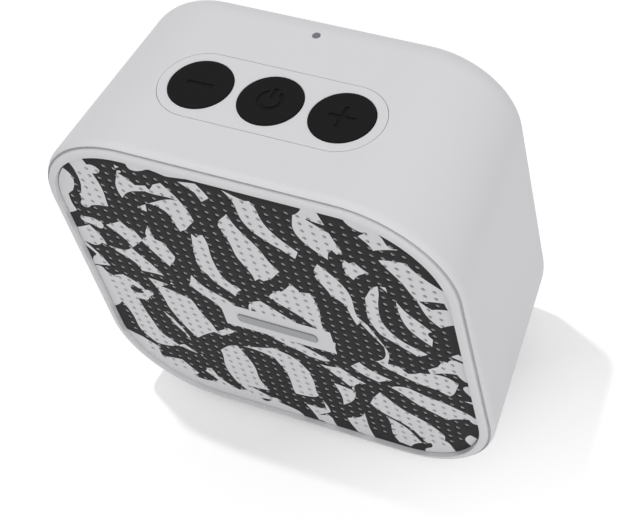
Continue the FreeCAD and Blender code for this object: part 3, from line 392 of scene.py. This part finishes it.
def pleated_section(ring, low, high):
    """The centring ring's closed section: six flat flanks from its hole to its edge.

    The front's seven corners lie at even radii, in turn a wall short of the box's back and on
    its front. The back repeats them a wall further back.
    """
    flanks = 6
    wave = (high.y - low.y - ring.pleat_wall) / 2
    radius = np.linspace(ring.pleat_hole, (high.x - low.x) / 2, flanks + 1)
    front = np.stack([radius, low.y + wave + wave * (-1.0) ** np.arange(flanks + 1)], -1)
    return np.concatenate([front, front[::-1] + (0.0, ring.pleat_wall)])


def bending_ring(name, section, middle):
    """A section (radius, y) carried round the driver's axis.

    The points are then rolled up to (r sin a, y, r cos a).
    """
    steps = 96
    angle = np.arange(steps) * 2 * np.pi / steps
    radius, turn = np.meshgrid(section[:, 0], angle, indexing="ij")
    across = np.repeat(section[:, 1:], steps, axis=1)
    number = np.arange(radius.size).reshape(radius.shape)
    made = new_piece(name, np.stack([radius, across, turn], -1).reshape(-1, 3),
                     [ring_faces(number, np.roll(number, -1, 0))])
    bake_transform(made)
    rolled = np.stack([middle.x + radius * np.sin(turn), across,
                       middle.z + radius * np.cos(turn)], -1)
    made.data.vertices.foreach_set("co", rolled.astype(np.float32).ravel())
    made.data.update()
    return made


# ---- materials ----------------------------------------------------------------------------

def add_node(tree, kind, settings=None, inputs=None):
    """Add one node. settings are its own values.

    inputs are its sockets' values or links. A node there stands for its first output.
    """
    made = tree.nodes.new("ShaderNode" + kind)
    for name, value in (settings or {}).items():
        setattr(made, name, value)
    for key, value in (inputs or {}).items():
        if isinstance(value, bpy.types.Node):
            value = value.outputs[0]
        if isinstance(value, bpy.types.NodeSocket):
            tree.links.new(value, made.inputs[key])
        else:
            made.inputs[key].default_value = value
    return made


def new_material(name):
    """An empty material, its node tree, and its Object coordinates."""
    made = bpy.data.materials.new(name)
    made.use_nodes = True
    tree = made.node_tree
    tree.nodes.clear()
    place = add_node(tree, "TexCoord").outputs["Object"]
    return made, tree, place


def finish_material(made, tree, shader):
    """Put the shader on the material's surface."""
    add_node(tree, "OutputMaterial", None, {"Surface": shader})
    return made


def rgba(colour, scale=1.0):
    """A linear colour made lighter or darker, with its alpha."""
    return (*(min(1.0, c * scale) for c in colour), 1.0)


def per_metre(millimetres):
    """The scale of a noise whose grain is this size."""
    return 1.0 / (millimetres * MM)


def moulded(name, colour, roughness, grain_mm, grain_depth_mm, drift=0.03, gloss=0.5):
    """Moulded plastic or rubber: a fine spark-eroded grain, and a slow drift in tone.

    The grain breaks up the highlight, and the drift is the faint cloudiness of a moulding.
    The grain is drawn coarser than a real one, which is too fine to show.
    """
    made, tree, place = new_material(name)
    slow = add_node(tree, "TexNoise", None, {
        "Vector": place, "Scale": per_metre(22.0), "Detail": 3.0, "Roughness": 0.55})
    tone = add_node(tree, "Mix", {"data_type": "RGBA"}, {
        0: slow.outputs["Fac"], 6: rgba(colour, 1 - drift), 7: rgba(colour, 1 + drift)})
    grain = add_node(tree, "TexNoise", None, {
        "Vector": place, "Scale": per_metre(grain_mm), "Detail": 2.0, "Roughness": 0.6})
    matte = add_node(tree, "MapRange", None, {
        "Value": grain.outputs["Fac"], "From Min": 0.3, "From Max": 0.7,
        "To Min": roughness - 0.05, "To Max": roughness + 0.05})
    bump = add_node(tree, "Bump", None, {
        "Strength": 0.6, "Distance": grain_depth_mm * MM, "Height": grain.outputs["Fac"]})
    shader = add_node(tree, "BsdfPrincipled", None, {
        "Base Color": tone.outputs[2], "Roughness": matte.outputs["Result"],
        "Normal": bump.outputs["Normal"], "IOR": 1.49, "Specular IOR Level": gloss})
    return finish_material(made, tree, shader)


def metal(name, colour, roughness, line_mm, along=(1.0, 1.0, 1.0)):
    """Bare or plated metal: an even grain, or rolling or brushing lines.

    along stretches the grain: a small value in one direction draws it out that way, to lines.
    It is drawn coarser than a real one, which is too fine to show.
    """
    drift = 0.08                # of the tone, up and down
    made, tree, place = new_material(name)
    stretched = add_node(tree, "Mapping", None, {"Vector": place, "Scale": along})
    lines = add_node(tree, "TexNoise", None, {
        "Vector": stretched.outputs["Vector"], "Scale": per_metre(line_mm), "Detail": 4.0,
        "Roughness": 0.65})
    tone = add_node(tree, "Mix", {"data_type": "RGBA"}, {
        0: lines.outputs["Fac"], 6: rgba(colour, 1 - drift), 7: rgba(colour, 1 + drift)})
    matte = add_node(tree, "MapRange", None, {
        "Value": lines.outputs["Fac"], "From Min": 0.25, "From Max": 0.75,
        "To Min": roughness - 0.08, "To Max": roughness + 0.08})
    bump = add_node(tree, "Bump", None, {
        "Strength": 0.35, "Distance": 0.01 * MM, "Height": lines.outputs["Fac"]})
    shader = add_node(tree, "BsdfPrincipled", None, {
        "Base Color": tone.outputs[2], "Metallic": 1.0,
        "Roughness": matte.outputs["Result"], "Normal": bump.outputs["Normal"]})
    return finish_material(made, tree, shader)


def woven(name, colour, thread_mm, roughness):
    """Plain-woven cloth: two crossed sets of threads, as ridges, with painted shade in the gaps
    and painted light on the crests.

    A wave texture's bands stand 2 pi / 20 apart at a scale of one, and the scale here makes
    that one thread. The threads are drawn coarser than real ones, which are too fine to show.
    """
    height_mm = 0.05            # of a thread above the gaps
    made, tree, place = new_material(name)
    waves = [
        add_node(tree, "TexWave", {"bands_direction": axis, "wave_profile": "SIN"}, {
            "Vector": place, "Scale": per_metre(thread_mm) / 20 * math.pi * 2,
            "Distortion": 0.4, "Detail": 1.0}).outputs["Fac"]
        for axis in ("X", "Z")
    ]
    height = add_node(tree, "Math", {"operation": "MAXIMUM"}, {0: waves[0], 1: waves[1]})
    # Painted shade and light: the thread colour is darkened in the gaps and on the threads'
    # flanks, and lightened on their crests.
    tone = add_node(tree, "Mix", {"data_type": "RGBA"}, {
        0: height, 6: rgba(colour, 0.45), 7: rgba(colour, 1.25)})
    bump = add_node(tree, "Bump", None, {
        "Strength": 0.8, "Distance": height_mm * MM, "Height": height})
    shader = add_node(tree, "BsdfPrincipled", None, {
        "Base Color": tone.outputs[2], "Roughness": roughness,
        "Normal": bump.outputs["Normal"], "Sheen Weight": 0.15})
    return finish_material(made, tree, shader)


def powder_coat(name, sheet, badge_z, low, high):
    """Powder-coated steel, with a faint orange peel, and over it a black screen print.

    The ink lies on the face and runs a little way down the wall of each hole. It keeps off a
    plain field round the badge. low and high are the sheet's box.
    """
    made, tree, place = new_material(name)
    peel = add_node(tree, "TexNoise", None, {
        "Vector": place, "Scale": per_metre(0.9), "Detail": 2.0, "Roughness": 0.5})
    bump = add_node(tree, "Bump", None, {
        "Strength": 0.25, "Distance": 0.02 * MM, "Height": peel.outputs["Fac"]})
    part = add_node(tree, "SeparateXYZ", None, {0: place})
    # Along the edge, the ink is partly print and partly painted shade at the top and right, and
    # the bare coat at the bottom and left is painted light.
    inked, bare = rim_print_with_painted_shade_and_light(tree, place, sheet, low, high)
    inked = add_node(tree, "Math", {"operation": "MAXIMUM"}, {
        0: inked, 1: printed_strokes(tree, place)})
    covered = add_node(tree, "Math", {"operation": "SUBTRACT"}, {0: 1.0, 1: bare})
    on_face = add_node(tree, "Math", {"operation": "LESS_THAN"}, {
        0: part.outputs["Y"], 1: low.y + sheet.ink_reach})
    for mask in (covered, outside_field(tree, place, badge_z, sheet.field_x, sheet.field_z),
                 on_face):
        inked = add_node(tree, "Math", {"operation": "MULTIPLY"}, {0: inked, 1: mask})
    tone = add_node(tree, "Mix", {"data_type": "RGBA"}, {
        0: inked, 6: rgba(sheet.white), 7: rgba(sheet.ink)})
    matte = add_node(tree, "MapRange", None, {"Value": inked, "To Min": 0.55, "To Max": 0.65})
    shader = add_node(tree, "BsdfPrincipled", None, {
        "Base Color": tone.outputs[2], "Roughness": matte.outputs["Result"],
        "Normal": bump.outputs["Normal"], "Specular IOR Level": 0.2})
    return finish_material(made, tree, shader)


def outside_field(tree, place, middle_z, half_x, half_z):
    """1 outside the plain field round the badge, a rectangle about (0, middle_z)."""
    part = add_node(tree, "SeparateXYZ", None, {0: place})
    up = add_node(tree, "Math", {"operation": "SUBTRACT"}, {0: part.outputs["Z"], 1: middle_z})
    past = []
    for off, half in ((part.outputs["X"], half_x), (up, half_z)):
        size = add_node(tree, "Math", {"operation": "ABSOLUTE"}, {0: off})
        past.append(add_node(tree, "Math", {"operation": "SUBTRACT"}, {0: size, 1: half}))
    either = add_node(tree, "Math", {"operation": "MAXIMUM"}, dict(enumerate(past)))
    return add_node(tree, "Math", {"operation": "GREATER_THAN"}, {0: either, 1: 0.0})


def bent(tree, place, size_mm, push_mm):
    """Coordinates in the sheet's plane, pushed about by a slow noise of this size."""
    noise = add_node(tree, "TexNoise", None, {
        "Vector": place, "Scale": per_metre(size_mm), "Detail": 1.0, "Roughness": 0.45})
    centred = add_node(tree, "VectorMath", {"operation": "SUBTRACT"}, {
        0: noise.outputs["Color"], 1: (0.5, 0.5, 0.5)})
    push = push_mm * MM
    return add_node(tree, "VectorMath", {"operation": "MULTIPLY_ADD"}, {
        0: centred, 1: (push, 0.0, push), 2: place})


def stroke_patches(tree, place, start, slants, period_mm, wave, wave_mm, level):
    """1 on parallel strokes, whose slant and place change from one patch to the next.

    The patches are Voronoi cells of about 30 by 24 mm. Each cell's two random numbers give
    the slant of its strokes, between two angles, and where they start. A stroke is where a
    sine across them, bent by a noise, lies under the level.
    """
    patch_x, patch_z, patch_turn = 30.0, 24.0, math.radians(-20.0)
    start_reach = 6.0           # most of a whole turn of the sine
    moved = add_node(tree, "VectorMath", {"operation": "ADD"}, {0: place, 1: start})
    loose = bent(tree, moved, size_mm=16.0, push_mm=6.0)
    turned = add_node(tree, "Mapping", None, {
        "Vector": loose, "Rotation": (0.0, patch_turn, 0.0)})
    flat = add_node(tree, "VectorMath", {"operation": "MULTIPLY"}, {
        0: turned.outputs["Vector"], 1: (per_metre(patch_x), 0.0, per_metre(patch_z))})
    cells = add_node(tree, "TexVoronoi", {"feature": "F1"}, {
        "Vector": flat, "Scale": 1.0, "Randomness": 1.0})
    random = add_node(tree, "SeparateColor", None, {0: cells.outputs["Color"]})
    slant = add_node(tree, "MapRange", None, {
        "Value": random.outputs[0], "To Min": math.radians(slants[0]),
        "To Max": math.radians(slants[1])})
    across = add_node(tree, "VectorRotate", {"rotation_type": "Y_AXIS"}, {
        "Vector": loose, "Angle": slant.outputs["Result"]})
    part = add_node(tree, "SeparateXYZ", None, {0: across.outputs["Vector"]})
    noise = add_node(tree, "TexNoise", None, {
        "Vector": loose, "Scale": per_metre(wave_mm), "Detail": 1.0})
    phase = add_node(tree, "Math", {"operation": "MULTIPLY"}, {
        0: noise.outputs["Fac"], 1: wave})
    phase = add_node(tree, "Math", {"operation": "MULTIPLY_ADD"}, {
        0: part.outputs["Z"], 1: math.tau * per_metre(period_mm), 2: phase})
    phase = add_node(tree, "Math", {"operation": "MULTIPLY_ADD"}, {
        0: random.outputs[1], 1: start_reach, 2: phase})
    height = add_node(tree, "Math", {"operation": "SINE"}, {0: phase})
    return add_node(tree, "Math", {"operation": "LESS_THAN"}, {0: height, 1: level})


def printed_strokes(tree, place):
    """1 where the sheet is inked: broad slanted strokes, tied by a few that cross them.

    The offset and the two starts say which part of the noises lies on the sheet. They are
    chosen for how the strokes fall.
    """
    moved = add_node(tree, "VectorMath", {"operation": "ADD"}, {
        0: place, 1: (0.120, 0.0, 0.020)})
    loose = bent(tree, moved, size_mm=22.0, push_mm=16.0)
    broad = stroke_patches(
        tree, loose, start=(0.020, 0.0, 0.010), slants=(-80.0, -10.0), period_mm=11.0,
        wave=5.0, wave_mm=20.0, level=0.02)
    ties = stroke_patches(
        tree, loose, start=(0.071, 0.0, 0.052), slants=(0.0, 70.0), period_mm=18.0,
        wave=6.0, wave_mm=20.0, level=-0.72)
    return add_node(tree, "Math", {"operation": "MAXIMUM"}, {0: broad, 1: ties})


def rim_print_with_painted_shade_and_light(tree, place, sheet, low, high):
    """Ink, and bare coating, that hug the sheet's edge: each 1 on its own strokes. The ink is
    partly print and partly painted shade along the top and right edges, where the ring's wall
    shades the sheet; the bare coating is painted light along the bottom and left.

    A slow noise is raised towards the top right. It is inked where it passes a level, and its
    complement is bare where that does. Each falls off with the distance in from the edge,
    which is that of rounded_square_depth.
    """
    gain, shift = 1.8, -0.4                 # of the noise
    # The rise towards the top right is painted shade: it puts ink on the top and right edges and
    # keeps the bottom and left bare as painted light.
    rightwards, upwards = 4.0, 2.5          # what it gains in a metre that way
    ink_fall, bare_fall = -80.0, -50.0      # what each loses in a metre inwards
    ink_level, bare_level = 0.6, 0.54
    half, mid_z = (high.x - low.x) / 2, (high.z + low.z) / 2
    part = add_node(tree, "SeparateXYZ", None, {0: place})
    up = add_node(tree, "Math", {"operation": "SUBTRACT"}, {0: part.outputs["Z"], 1: mid_z})
    squares = []
    for off in (part.outputs["X"], up):
        past = add_node(tree, "Math", {"operation": "ABSOLUTE"}, {0: off})
        past = add_node(tree, "Math", {"operation": "SUBTRACT"}, {0: past, 1: sheet.corner_at})
        past = add_node(tree, "Math", {"operation": "MAXIMUM"}, {0: past, 1: 0.0})
        squares.append(add_node(tree, "Math", {"operation": "POWER"}, {0: past, 1: 2.0}))
    total = add_node(tree, "Math", {"operation": "ADD"}, dict(enumerate(squares)))
    size = add_node(tree, "Math", {"operation": "SQRT"}, {0: total})
    depth = add_node(tree, "Math", {"operation": "SUBTRACT"}, {
        0: half - sheet.corner_at, 1: size})
    noise = add_node(tree, "TexNoise", None, {
        "Vector": place, "Scale": per_metre(9.0), "Detail": 1.0, "Roughness": 0.5})
    level = add_node(tree, "Math", {"operation": "MULTIPLY_ADD"}, {
        0: noise.outputs["Fac"], 1: gain, 2: shift})
    level = add_node(tree, "Math", {"operation": "MULTIPLY_ADD"}, {
        0: part.outputs["X"], 1: rightwards, 2: level})
    level = add_node(tree, "Math", {"operation": "MULTIPLY_ADD"}, {0: up, 1: upwards, 2: level})
    inked = add_node(tree, "Math", {"operation": "MULTIPLY_ADD"}, {
        0: depth, 1: ink_fall, 2: level})
    bare = add_node(tree, "Math", {"operation": "MULTIPLY_ADD"}, {
        0: depth, 1: bare_fall, 2: 1.0})
    bare = add_node(tree, "Math", {"operation": "SUBTRACT"}, {0: bare, 1: level})
    return (add_node(tree, "Math", {"operation": "GREATER_THAN"}, {0: inked, 1: ink_level}),
            add_node(tree, "Math", {"operation": "GREATER_THAN"}, {0: bare, 1: bare_level}))


def dress(material, *names):
    """Give CAD nodes a material in every slot they have."""
    for name in names:
        slots = NODES[name].data.materials
        if not len(slots):
            slots.append(material)
        for index in range(len(slots)):
            slots[index] = material


# ---- operators ----------------------------------------------------------------------------

class LOUDSPEAKER_OT_housing(bpy.types.Operator):
    """Moulded white parts: the housing, the front ring and the plate round the keys"""

    bl_idname = "loudspeaker.housing"
    bl_label = "Housing, front ring and key plate"

    def execute(self, context):
        finishes = context.scene.loudspeaker_finishes
        # ABS with a spark-eroded face: chalk-matte, no clear highlight, grain just visible.
        # The ring's mould is a little finer, so that it is a shade glossier.
        for name, colour, rough, node in (
            ("white_abs_housing", finishes.housing, 0.58, "housing"),
            ("white_abs_bezel", finishes.bezel, 0.52, "front_bezel"),
            ("white_abs_key_plate", finishes.plate, 0.58, "button_plate"),
        ):
            dress(moulded(name, colour, rough, grain_mm=0.35, grain_depth_mm=0.02,
                          drift=0.012), node)
        return {"FINISHED"}


class LOUDSPEAKER_OT_sheet(bpy.types.Operator):
    """Perforated and printed front sheet"""

    bl_idname = "loudspeaker.sheet"
    bl_label = "Front sheet"

    def execute(self, context):
        sheet = context.scene.loudspeaker_sheet
        badge_low, badge_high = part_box("badge")
        badge_z = (badge_low.z + badge_high.z) / 2
        low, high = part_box("grille")
        made = new_piece("front_sheet", *perforated_sheet(sheet, badge_z, low, high))
        # Polyester powder on steel: matte white, slightly pebbled, the ink duller than it.
        made.data.materials.append(
            powder_coat("printed_powder_coat", sheet, badge_z, low, high))
        made.data.shade_smooth()
        made.data.set_sharp_from_angle(angle=math.radians(50))
        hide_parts("grille")
        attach(made, "root")
        return {"FINISHED"}


class LOUDSPEAKER_OT_front_trim(bpy.types.Operator):
    """Bare badge, and the cloth behind the perforations"""

    bl_idname = "loudspeaker.front_trim"
    bl_label = "Badge and cloth"

    def execute(self, context):
        finishes = context.scene.loudspeaker_finishes
        # Anodised aluminium strip, brushed along its length: satin grey with fine lines.
        dress(metal("brushed_aluminium", finishes.badge, roughness=0.38, line_mm=0.12,
                    along=(0.05, 1.0, 1.0)), "badge")
        # Open acoustic cloth in black polyester: dead black with a faint weave.
        dress(woven("acoustic_cloth", finishes.cloth, thread_mm=0.45, roughness=0.9),
              "grille_cloth")
        return {"FINISHED"}


class LOUDSPEAKER_OT_keys(bpy.types.Operator):
    """Three soft keys and the status light beside them"""

    bl_idname = "loudspeaker.keys"
    bl_label = "Keys and status light"

    def execute(self, context):
        finishes = context.scene.loudspeaker_finishes
        # Moulded silicone rubber: soft black, dull, slightly dusty at a low angle.
        dress(moulded("silicone_key", finishes.keys, roughness=0.75, grain_mm=0.25,
                      grain_depth_mm=0.015, drift=0.08, gloss=0.12),
              "button_minus", "button_power", "button_plus")
        # Moulded smoked acrylic: smooth and glossy, grey with the light off.
        dress(moulded("smoked_acrylic", finishes.light_pipe, roughness=0.22, grain_mm=0.6,
                      grain_depth_mm=0.002), "light_pipe")
        return {"FINISHED"}


class LOUDSPEAKER_OT_back_and_feet(bpy.types.Operator):
    """Charging inlet, sound socket and the two rubber runners"""

    bl_idname = "loudspeaker.back_and_feet"
    bl_label = "Sockets and feet"

    def execute(self, context):
        finishes = context.scene.loudspeaker_finishes
        # Drawn and plated steel: bright, with faint lines along the draw.
        dress(metal("drawn_steel_shell", linear("#B9BABD"), roughness=0.3, line_mm=0.2,
                    along=(0.2, 1.0, 1.0)), "charging_port")
        # Glass-filled nylon: black, a little shine on a fine grain.
        dress(moulded("black_nylon", linear("#1B1B1C"), roughness=0.45, grain_mm=0.3,
                      grain_depth_mm=0.01), "audio_jack")
        # Moulded rubber: dark grey, dull, its tone a little uneven.
        dress(moulded("rubber_runner", finishes.feet, roughness=0.75, grain_mm=0.4,
                      grain_depth_mm=0.03, drift=0.08), "feet")
        return {"FINISHED"}


class LOUDSPEAKER_OT_inside(bpy.types.Operator):
    """Everything inside: the drive unit, the boards, the battery, the leads and the screws"""

    bl_idname = "loudspeaker.inside"
    bl_label = "Inside parts"

    def execute(self, context):
        # Moulded and coated parts: name, colour, roughness, grain and depth in mm, nodes.
        for name, colour, rough, grain, depth, nodes in (
            # Textured ABS: near black, low shine.
            ("black_abs_baffle", "#222223", 0.55, 0.4, 0.02, "baffle"),
            # Moulded nylon: near black, a slight waxy shine.
            ("nylon_plunger", "#2A2A2B", 0.5, 0.3, 0.01,
             "plunger_minus plunger_power plunger_plus"),
            # Solder mask over glass fibre: deep green and glossy, with a soft ripple.
            ("green_solder_mask", "#12452B", 0.35, 1.2, 0.01, "button_board main_board"),
            # Undyed nylon: creamy, slightly waxy.
            ("natural_nylon", "#E6E1CF", 0.5, 0.4, 0.01, "button_board_socket board_sockets"),
            # Cast clear resin: pale yellow, glossy.
            ("diode_lens", "#EDEDDF", 0.25, 0.6, 0.002, "status_led"),
            # Soft rubber: black, dull.
            ("soft_rubber", "#1F1F20", 0.7, 0.4, 0.02, "mic_boot"),
            # Open-cell foam: charcoal, quite dull, pitted.
            ("cell_foam", "#343435", 0.95, 0.5, 0.12, "driver_gasket battery_tape"),
            # Pressed steel, painted: black, half gloss.
            ("black_coated_steel", "#242425", 0.4, 0.8, 0.02, "driver_frame"),
            # Fired ferrite: dark grey, stony.
            ("sintered_ferrite", "#3A3A3C", 0.65, 0.25, 0.03, "driver_magnet"),
            # Pressed paper pulp: dark grey, dry and fibrous.
            ("pressed_paper", "#28282A", 0.9, 0.7, 0.08, "driver_cone driver_dust_cap"),
            # Phenolic paper laminate: brown, smooth.
            ("phenolic_board", "#7A4A2C", 0.6, 0.5, 0.02, "driver_terminal"),
            # Extruded vinyl: black, smooth, low shine.
            ("lead_jacket", "#2B2B2C", 0.5, 0.5, 0.01, "driver_lead battery_lead button_lead"),
            # Moulded epoxy: near black, finely matt.
            ("moulded_epoxy", "#2B2B2D", 0.6, 0.2, 0.01, "board_chips"),
        ):
            dress(moulded(name, linear(colour), rough, grain, depth), *nodes.split())
        # Metals: name, colour, roughness, line width in mm, nodes.
        for name, colour, rough, line, nodes in (
            # Zinc plate: bright, slightly cloudy.
            ("zinc_plate_screw", "#BFC1C4", 0.35, 0.3,
             "baffle_screws driver_screws button_board_screws main_board_screws"),
            # Stamped steel: grey, with a fine rolling grain.
            ("stamped_steel", "#B4B5B8", 0.35, 0.25, "switch_bodies"),
            # Nickel-silver can: bright and warm.
            ("plated_can", "#C9C5B6", 0.3, 0.2, "microphone"),
            # Zinc plate on turned steel: softer than on the screws.
            ("zinc_plate_yoke", "#BEBFC0", 0.4, 0.4, "driver_top_plate driver_yoke"),
            # Enamelled copper wire: warm copper, glossy.
            ("enamelled_copper", "#B8734A", 0.35, 0.1, "voice_coil"),
            # Aluminium laminate foil: silver, gently wrinkled.
            ("pouch_foil", "#B7B9BC", 0.3, 1.5, "battery"),
        ):
            dress(metal(name, linear(colour), rough, line), *nodes.split())
        return {"FINISHED"}


class LOUDSPEAKER_OT_suspension(bpy.types.Operator):
    """The two soft rings that hold the cone"""

    bl_idname = "loudspeaker.suspension"
    bl_label = "Surround and centring ring"

    def execute(self, context):
        ring = context.scene.loudspeaker_suspension
        for name, node, section, fixed, moving, material, slot in (
            # Butyl rubber: soft black, dull.
            ("surround_roll", "driver_surround", roll_section,
             ring.roll_outside, ring.roll_inside,
             moulded("butyl_rubber", linear("#1F1F20"), roughness=0.7, grain_mm=0.4,
                     grain_depth_mm=0.02), "soft_rubber"),
            # Resin-dipped cotton: brown, coarse weave.
            ("centring_ring", "driver_spider", pleated_section, None, ring.pleat_hole,
             woven("resin_cotton", linear("#A8813F"), thread_mm=0.6, roughness=0.8),
             "spider_cloth"),
        ):
            low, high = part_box(node)
            made = bending_ring(name, section(ring, low, high), (low + high) / 2)
            made.data.materials.append(material)
            made.data.shade_smooth()
            made.data.set_sharp_from_angle(angle=math.radians(35))
            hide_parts(node)
        return {"FINISHED"}


class LOUDSPEAKER_OT_stage(bpy.types.Operator):
    """Floor, even light, two lamps and camera"""

    bl_idname = "loudspeaker.stage"
    bl_label = "Stage"

    def execute(self, context):
        stage = context.scene.loudspeaker_stage
        self.floor(stage)
        self.world(context.scene, stage)
        self.lamps(context.scene, stage)
        self.camera(context.scene, stage)
        context.scene.view_settings.view_transform = "Standard"
        return {"FINISHED"}

    def seen(self, tree):
        """1 for a ray from the camera, or one that a mirror or glass passes on."""
        path = add_node(tree, "LightPath")
        shown = path.outputs["Is Camera Ray"]
        for kind in ("Is Glossy Ray", "Is Transmission Ray"):
            shown = add_node(tree, "Math", {"operation": "MAXIMUM"}, {
                0: shown, 1: path.outputs[kind]})
        return shown

    def floor(self, stage):
        """A flat square sheet, drawn as a grid.

        Other rays meet plain paper. The camera's meet paper that takes the shadow and is
        lifted to just under white.
        """
        half, steps = 2.5, 11
        fade_from, fade_to = 0.16, 0.42         # distance from under the object
        thin_from, thin_to = 0.016, 0.047       # the same, towards the front right
        line = np.linspace(-half, half, steps)
        gx, gy = np.meshgrid(line, line, indexing="ij")
        points = np.stack([gx, gy, np.zeros_like(gx)], -1).reshape(-1, 3)
        number = np.arange(gx.size).reshape(gx.shape)
        quads = np.stack([number[:-1, :-1], number[1:, :-1], number[1:, 1:], number[:-1, 1:]], -1)
        made = new_piece("floor", points, [quads.reshape(-1, 4)])
        paper, tree, place = new_material("floor_paper")
        diffuse = add_node(tree, "BsdfDiffuse", None, {"Color": rgba(stage.floor)})
        soft = add_node(tree, "BsdfDiffuse", None, {"Color": rgba(linear("#F9F9F9"))})
        lift = add_node(tree, "Emission", None, {"Strength": 0.2})
        white = add_node(tree, "AddShader", None, {0: soft, 1: lift})
        # Away from the object the paper fades to plain white, so that it has no far edge, and
        # the shadow thins out towards the front right.
        reach = add_node(tree, "VectorMath", {"operation": "LENGTH"}, {0: place})
        far = add_node(tree, "MapRange", {"interpolation_type": "SMOOTHSTEP"}, {
            "Value": reach.outputs["Value"], "From Min": fade_from, "From Max": fade_to})
        ahead = add_node(tree, "VectorMath", {"operation": "DOT_PRODUCT"}, {
            0: place, 1: (0.6, -0.8, 0.0)})
        thin = add_node(tree, "MapRange", None, {
            "Value": ahead.outputs["Value"], "From Min": thin_from, "From Max": thin_to})
        plain = add_node(tree, "Math", {"operation": "MAXIMUM"}, {
            0: far.outputs["Result"], 1: thin.outputs["Result"]})
        bare = add_node(tree, "Emission", None, {"Strength": 1.0})
        faded = add_node(tree, "MixShader", None, {0: plain, 1: white, 2: bare})
        shader = add_node(tree, "MixShader", None, {
            0: self.seen(tree), 1: diffuse, 2: faded})
        made.data.materials.append(finish_material(paper, tree, shader))

    def world(self, scene, stage):
        """Even light from all round, seen as white."""
        world = bpy.data.worlds.new("studio")
        world.use_nodes = True
        tree = world.node_tree
        tree.nodes.clear()
        strength = add_node(tree, "MapRange", None, {
            "Value": self.seen(tree), "To Min": stage.world, "To Max": 1.0})
        back = add_node(tree, "Background", None, {
            "Color": (1.0, 1.0, 1.0, 1.0), "Strength": strength.outputs["Result"]})
        add_node(tree, "OutputWorld", None, {"Surface": back})
        scene.world = world

    def lamps(self, scene, stage):
        """A small, far lamp almost overhead and a large, soft one in front on the right.

        The first stands a little to the left and behind, and gives the shadow its clean edge.
        """
        middle = sum(CAD_BOX, Vector()) / 2
        # Name, size in metres, power, and place from the middle of the object.
        for name, size, power, offset in (
            ("overhead", 0.08, stage.overhead, (-0.66, 0.32, 3.0)),
            ("fill", 1.2, stage.fill, (0.85, -0.8, 0.3)),
        ):
            lamp = bpy.data.lights.new(name, "AREA")
            lamp.shape = "SQUARE"
            lamp.size, lamp.energy = size, power
            made = bpy.data.objects.new(name, lamp)
            made.location = middle + Vector(offset)
            made.rotation_euler = (middle - made.location).to_track_quat("-Z", "Y").to_euler()
            scene.collection.objects.link(made)

    def camera(self, scene, stage):
        """The camera looks back along its azimuth and elevation, turned by its roll."""
        lens = bpy.data.cameras.new("camera")
        lens.sensor_width, lens.lens = 36.0, stage.lens
        lens.clip_start, lens.clip_end = 0.01, 20.0
        made = bpy.data.objects.new("camera", lens)
        flat = math.cos(stage.elevation)
        back = Vector((math.sin(stage.azimuth) * flat, -math.cos(stage.azimuth) * flat,
                       math.sin(stage.elevation)))
        aim = Vector(stage.aim)
        turn = back.to_track_quat("Z", "Y").to_matrix()
        turn = turn @ Matrix.Rotation(stage.roll, 3, "Z")
        made.matrix_world = Matrix.Translation(aim + back * stage.distance) @ turn.to_4x4()
        scene.collection.objects.link(made)
        scene.camera = made


OPERATORS = (
    LOUDSPEAKER_OT_housing,
    LOUDSPEAKER_OT_sheet,
    LOUDSPEAKER_OT_front_trim,
    LOUDSPEAKER_OT_keys,
    LOUDSPEAKER_OT_back_and_feet,
    LOUDSPEAKER_OT_inside,
    LOUDSPEAKER_OT_suspension,
    LOUDSPEAKER_OT_stage,
)
GROUPS = {
    "loudspeaker_sheet": LoudspeakerSheet,
    "loudspeaker_finishes": LoudspeakerFinishes,
    "loudspeaker_suspension": LoudspeakerSuspension,
    "loudspeaker_stage": LoudspeakerStage,
}


class LOUDSPEAKER_PT_panel(bpy.types.Panel):
    """Sidebar panel with every step"""

    bl_idname = "LOUDSPEAKER_PT_panel"
    bl_label = "Loudspeaker"
    bl_space_type = "VIEW_3D"
    bl_region_type = "UI"
    bl_category = "Loudspeaker"

    def draw(self, context):
        for operator in OPERATORS:
            self.layout.operator(operator.bl_idname)
        for name, group in GROUPS.items():
            column = self.layout.column()
            for field in group.__annotations__:
                column.prop(getattr(context.scene, name), field)


def register():
    """Register every class and hang the property groups on the scene."""
    for kind in (*GROUPS.values(), *OPERATORS, LOUDSPEAKER_PT_panel):
        bpy.utils.register_class(kind)
    for name, group in GROUPS.items():
        setattr(bpy.types.Scene, name, PointerProperty(type=group))


def unregister():
    """Undo register, in reverse."""
    for name in GROUPS:
        delattr(bpy.types.Scene, name)
    for kind in reversed((*GROUPS.values(), *OPERATORS, LOUDSPEAKER_PT_panel)):
        bpy.utils.unregister_class(kind)


def main():
    """Register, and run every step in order."""
    register()
    for operator in OPERATORS:
        group, step = operator.bl_idname.split(".")
        getattr(getattr(bpy.ops, group), step)()


if __name__ == "__main__":
    main()
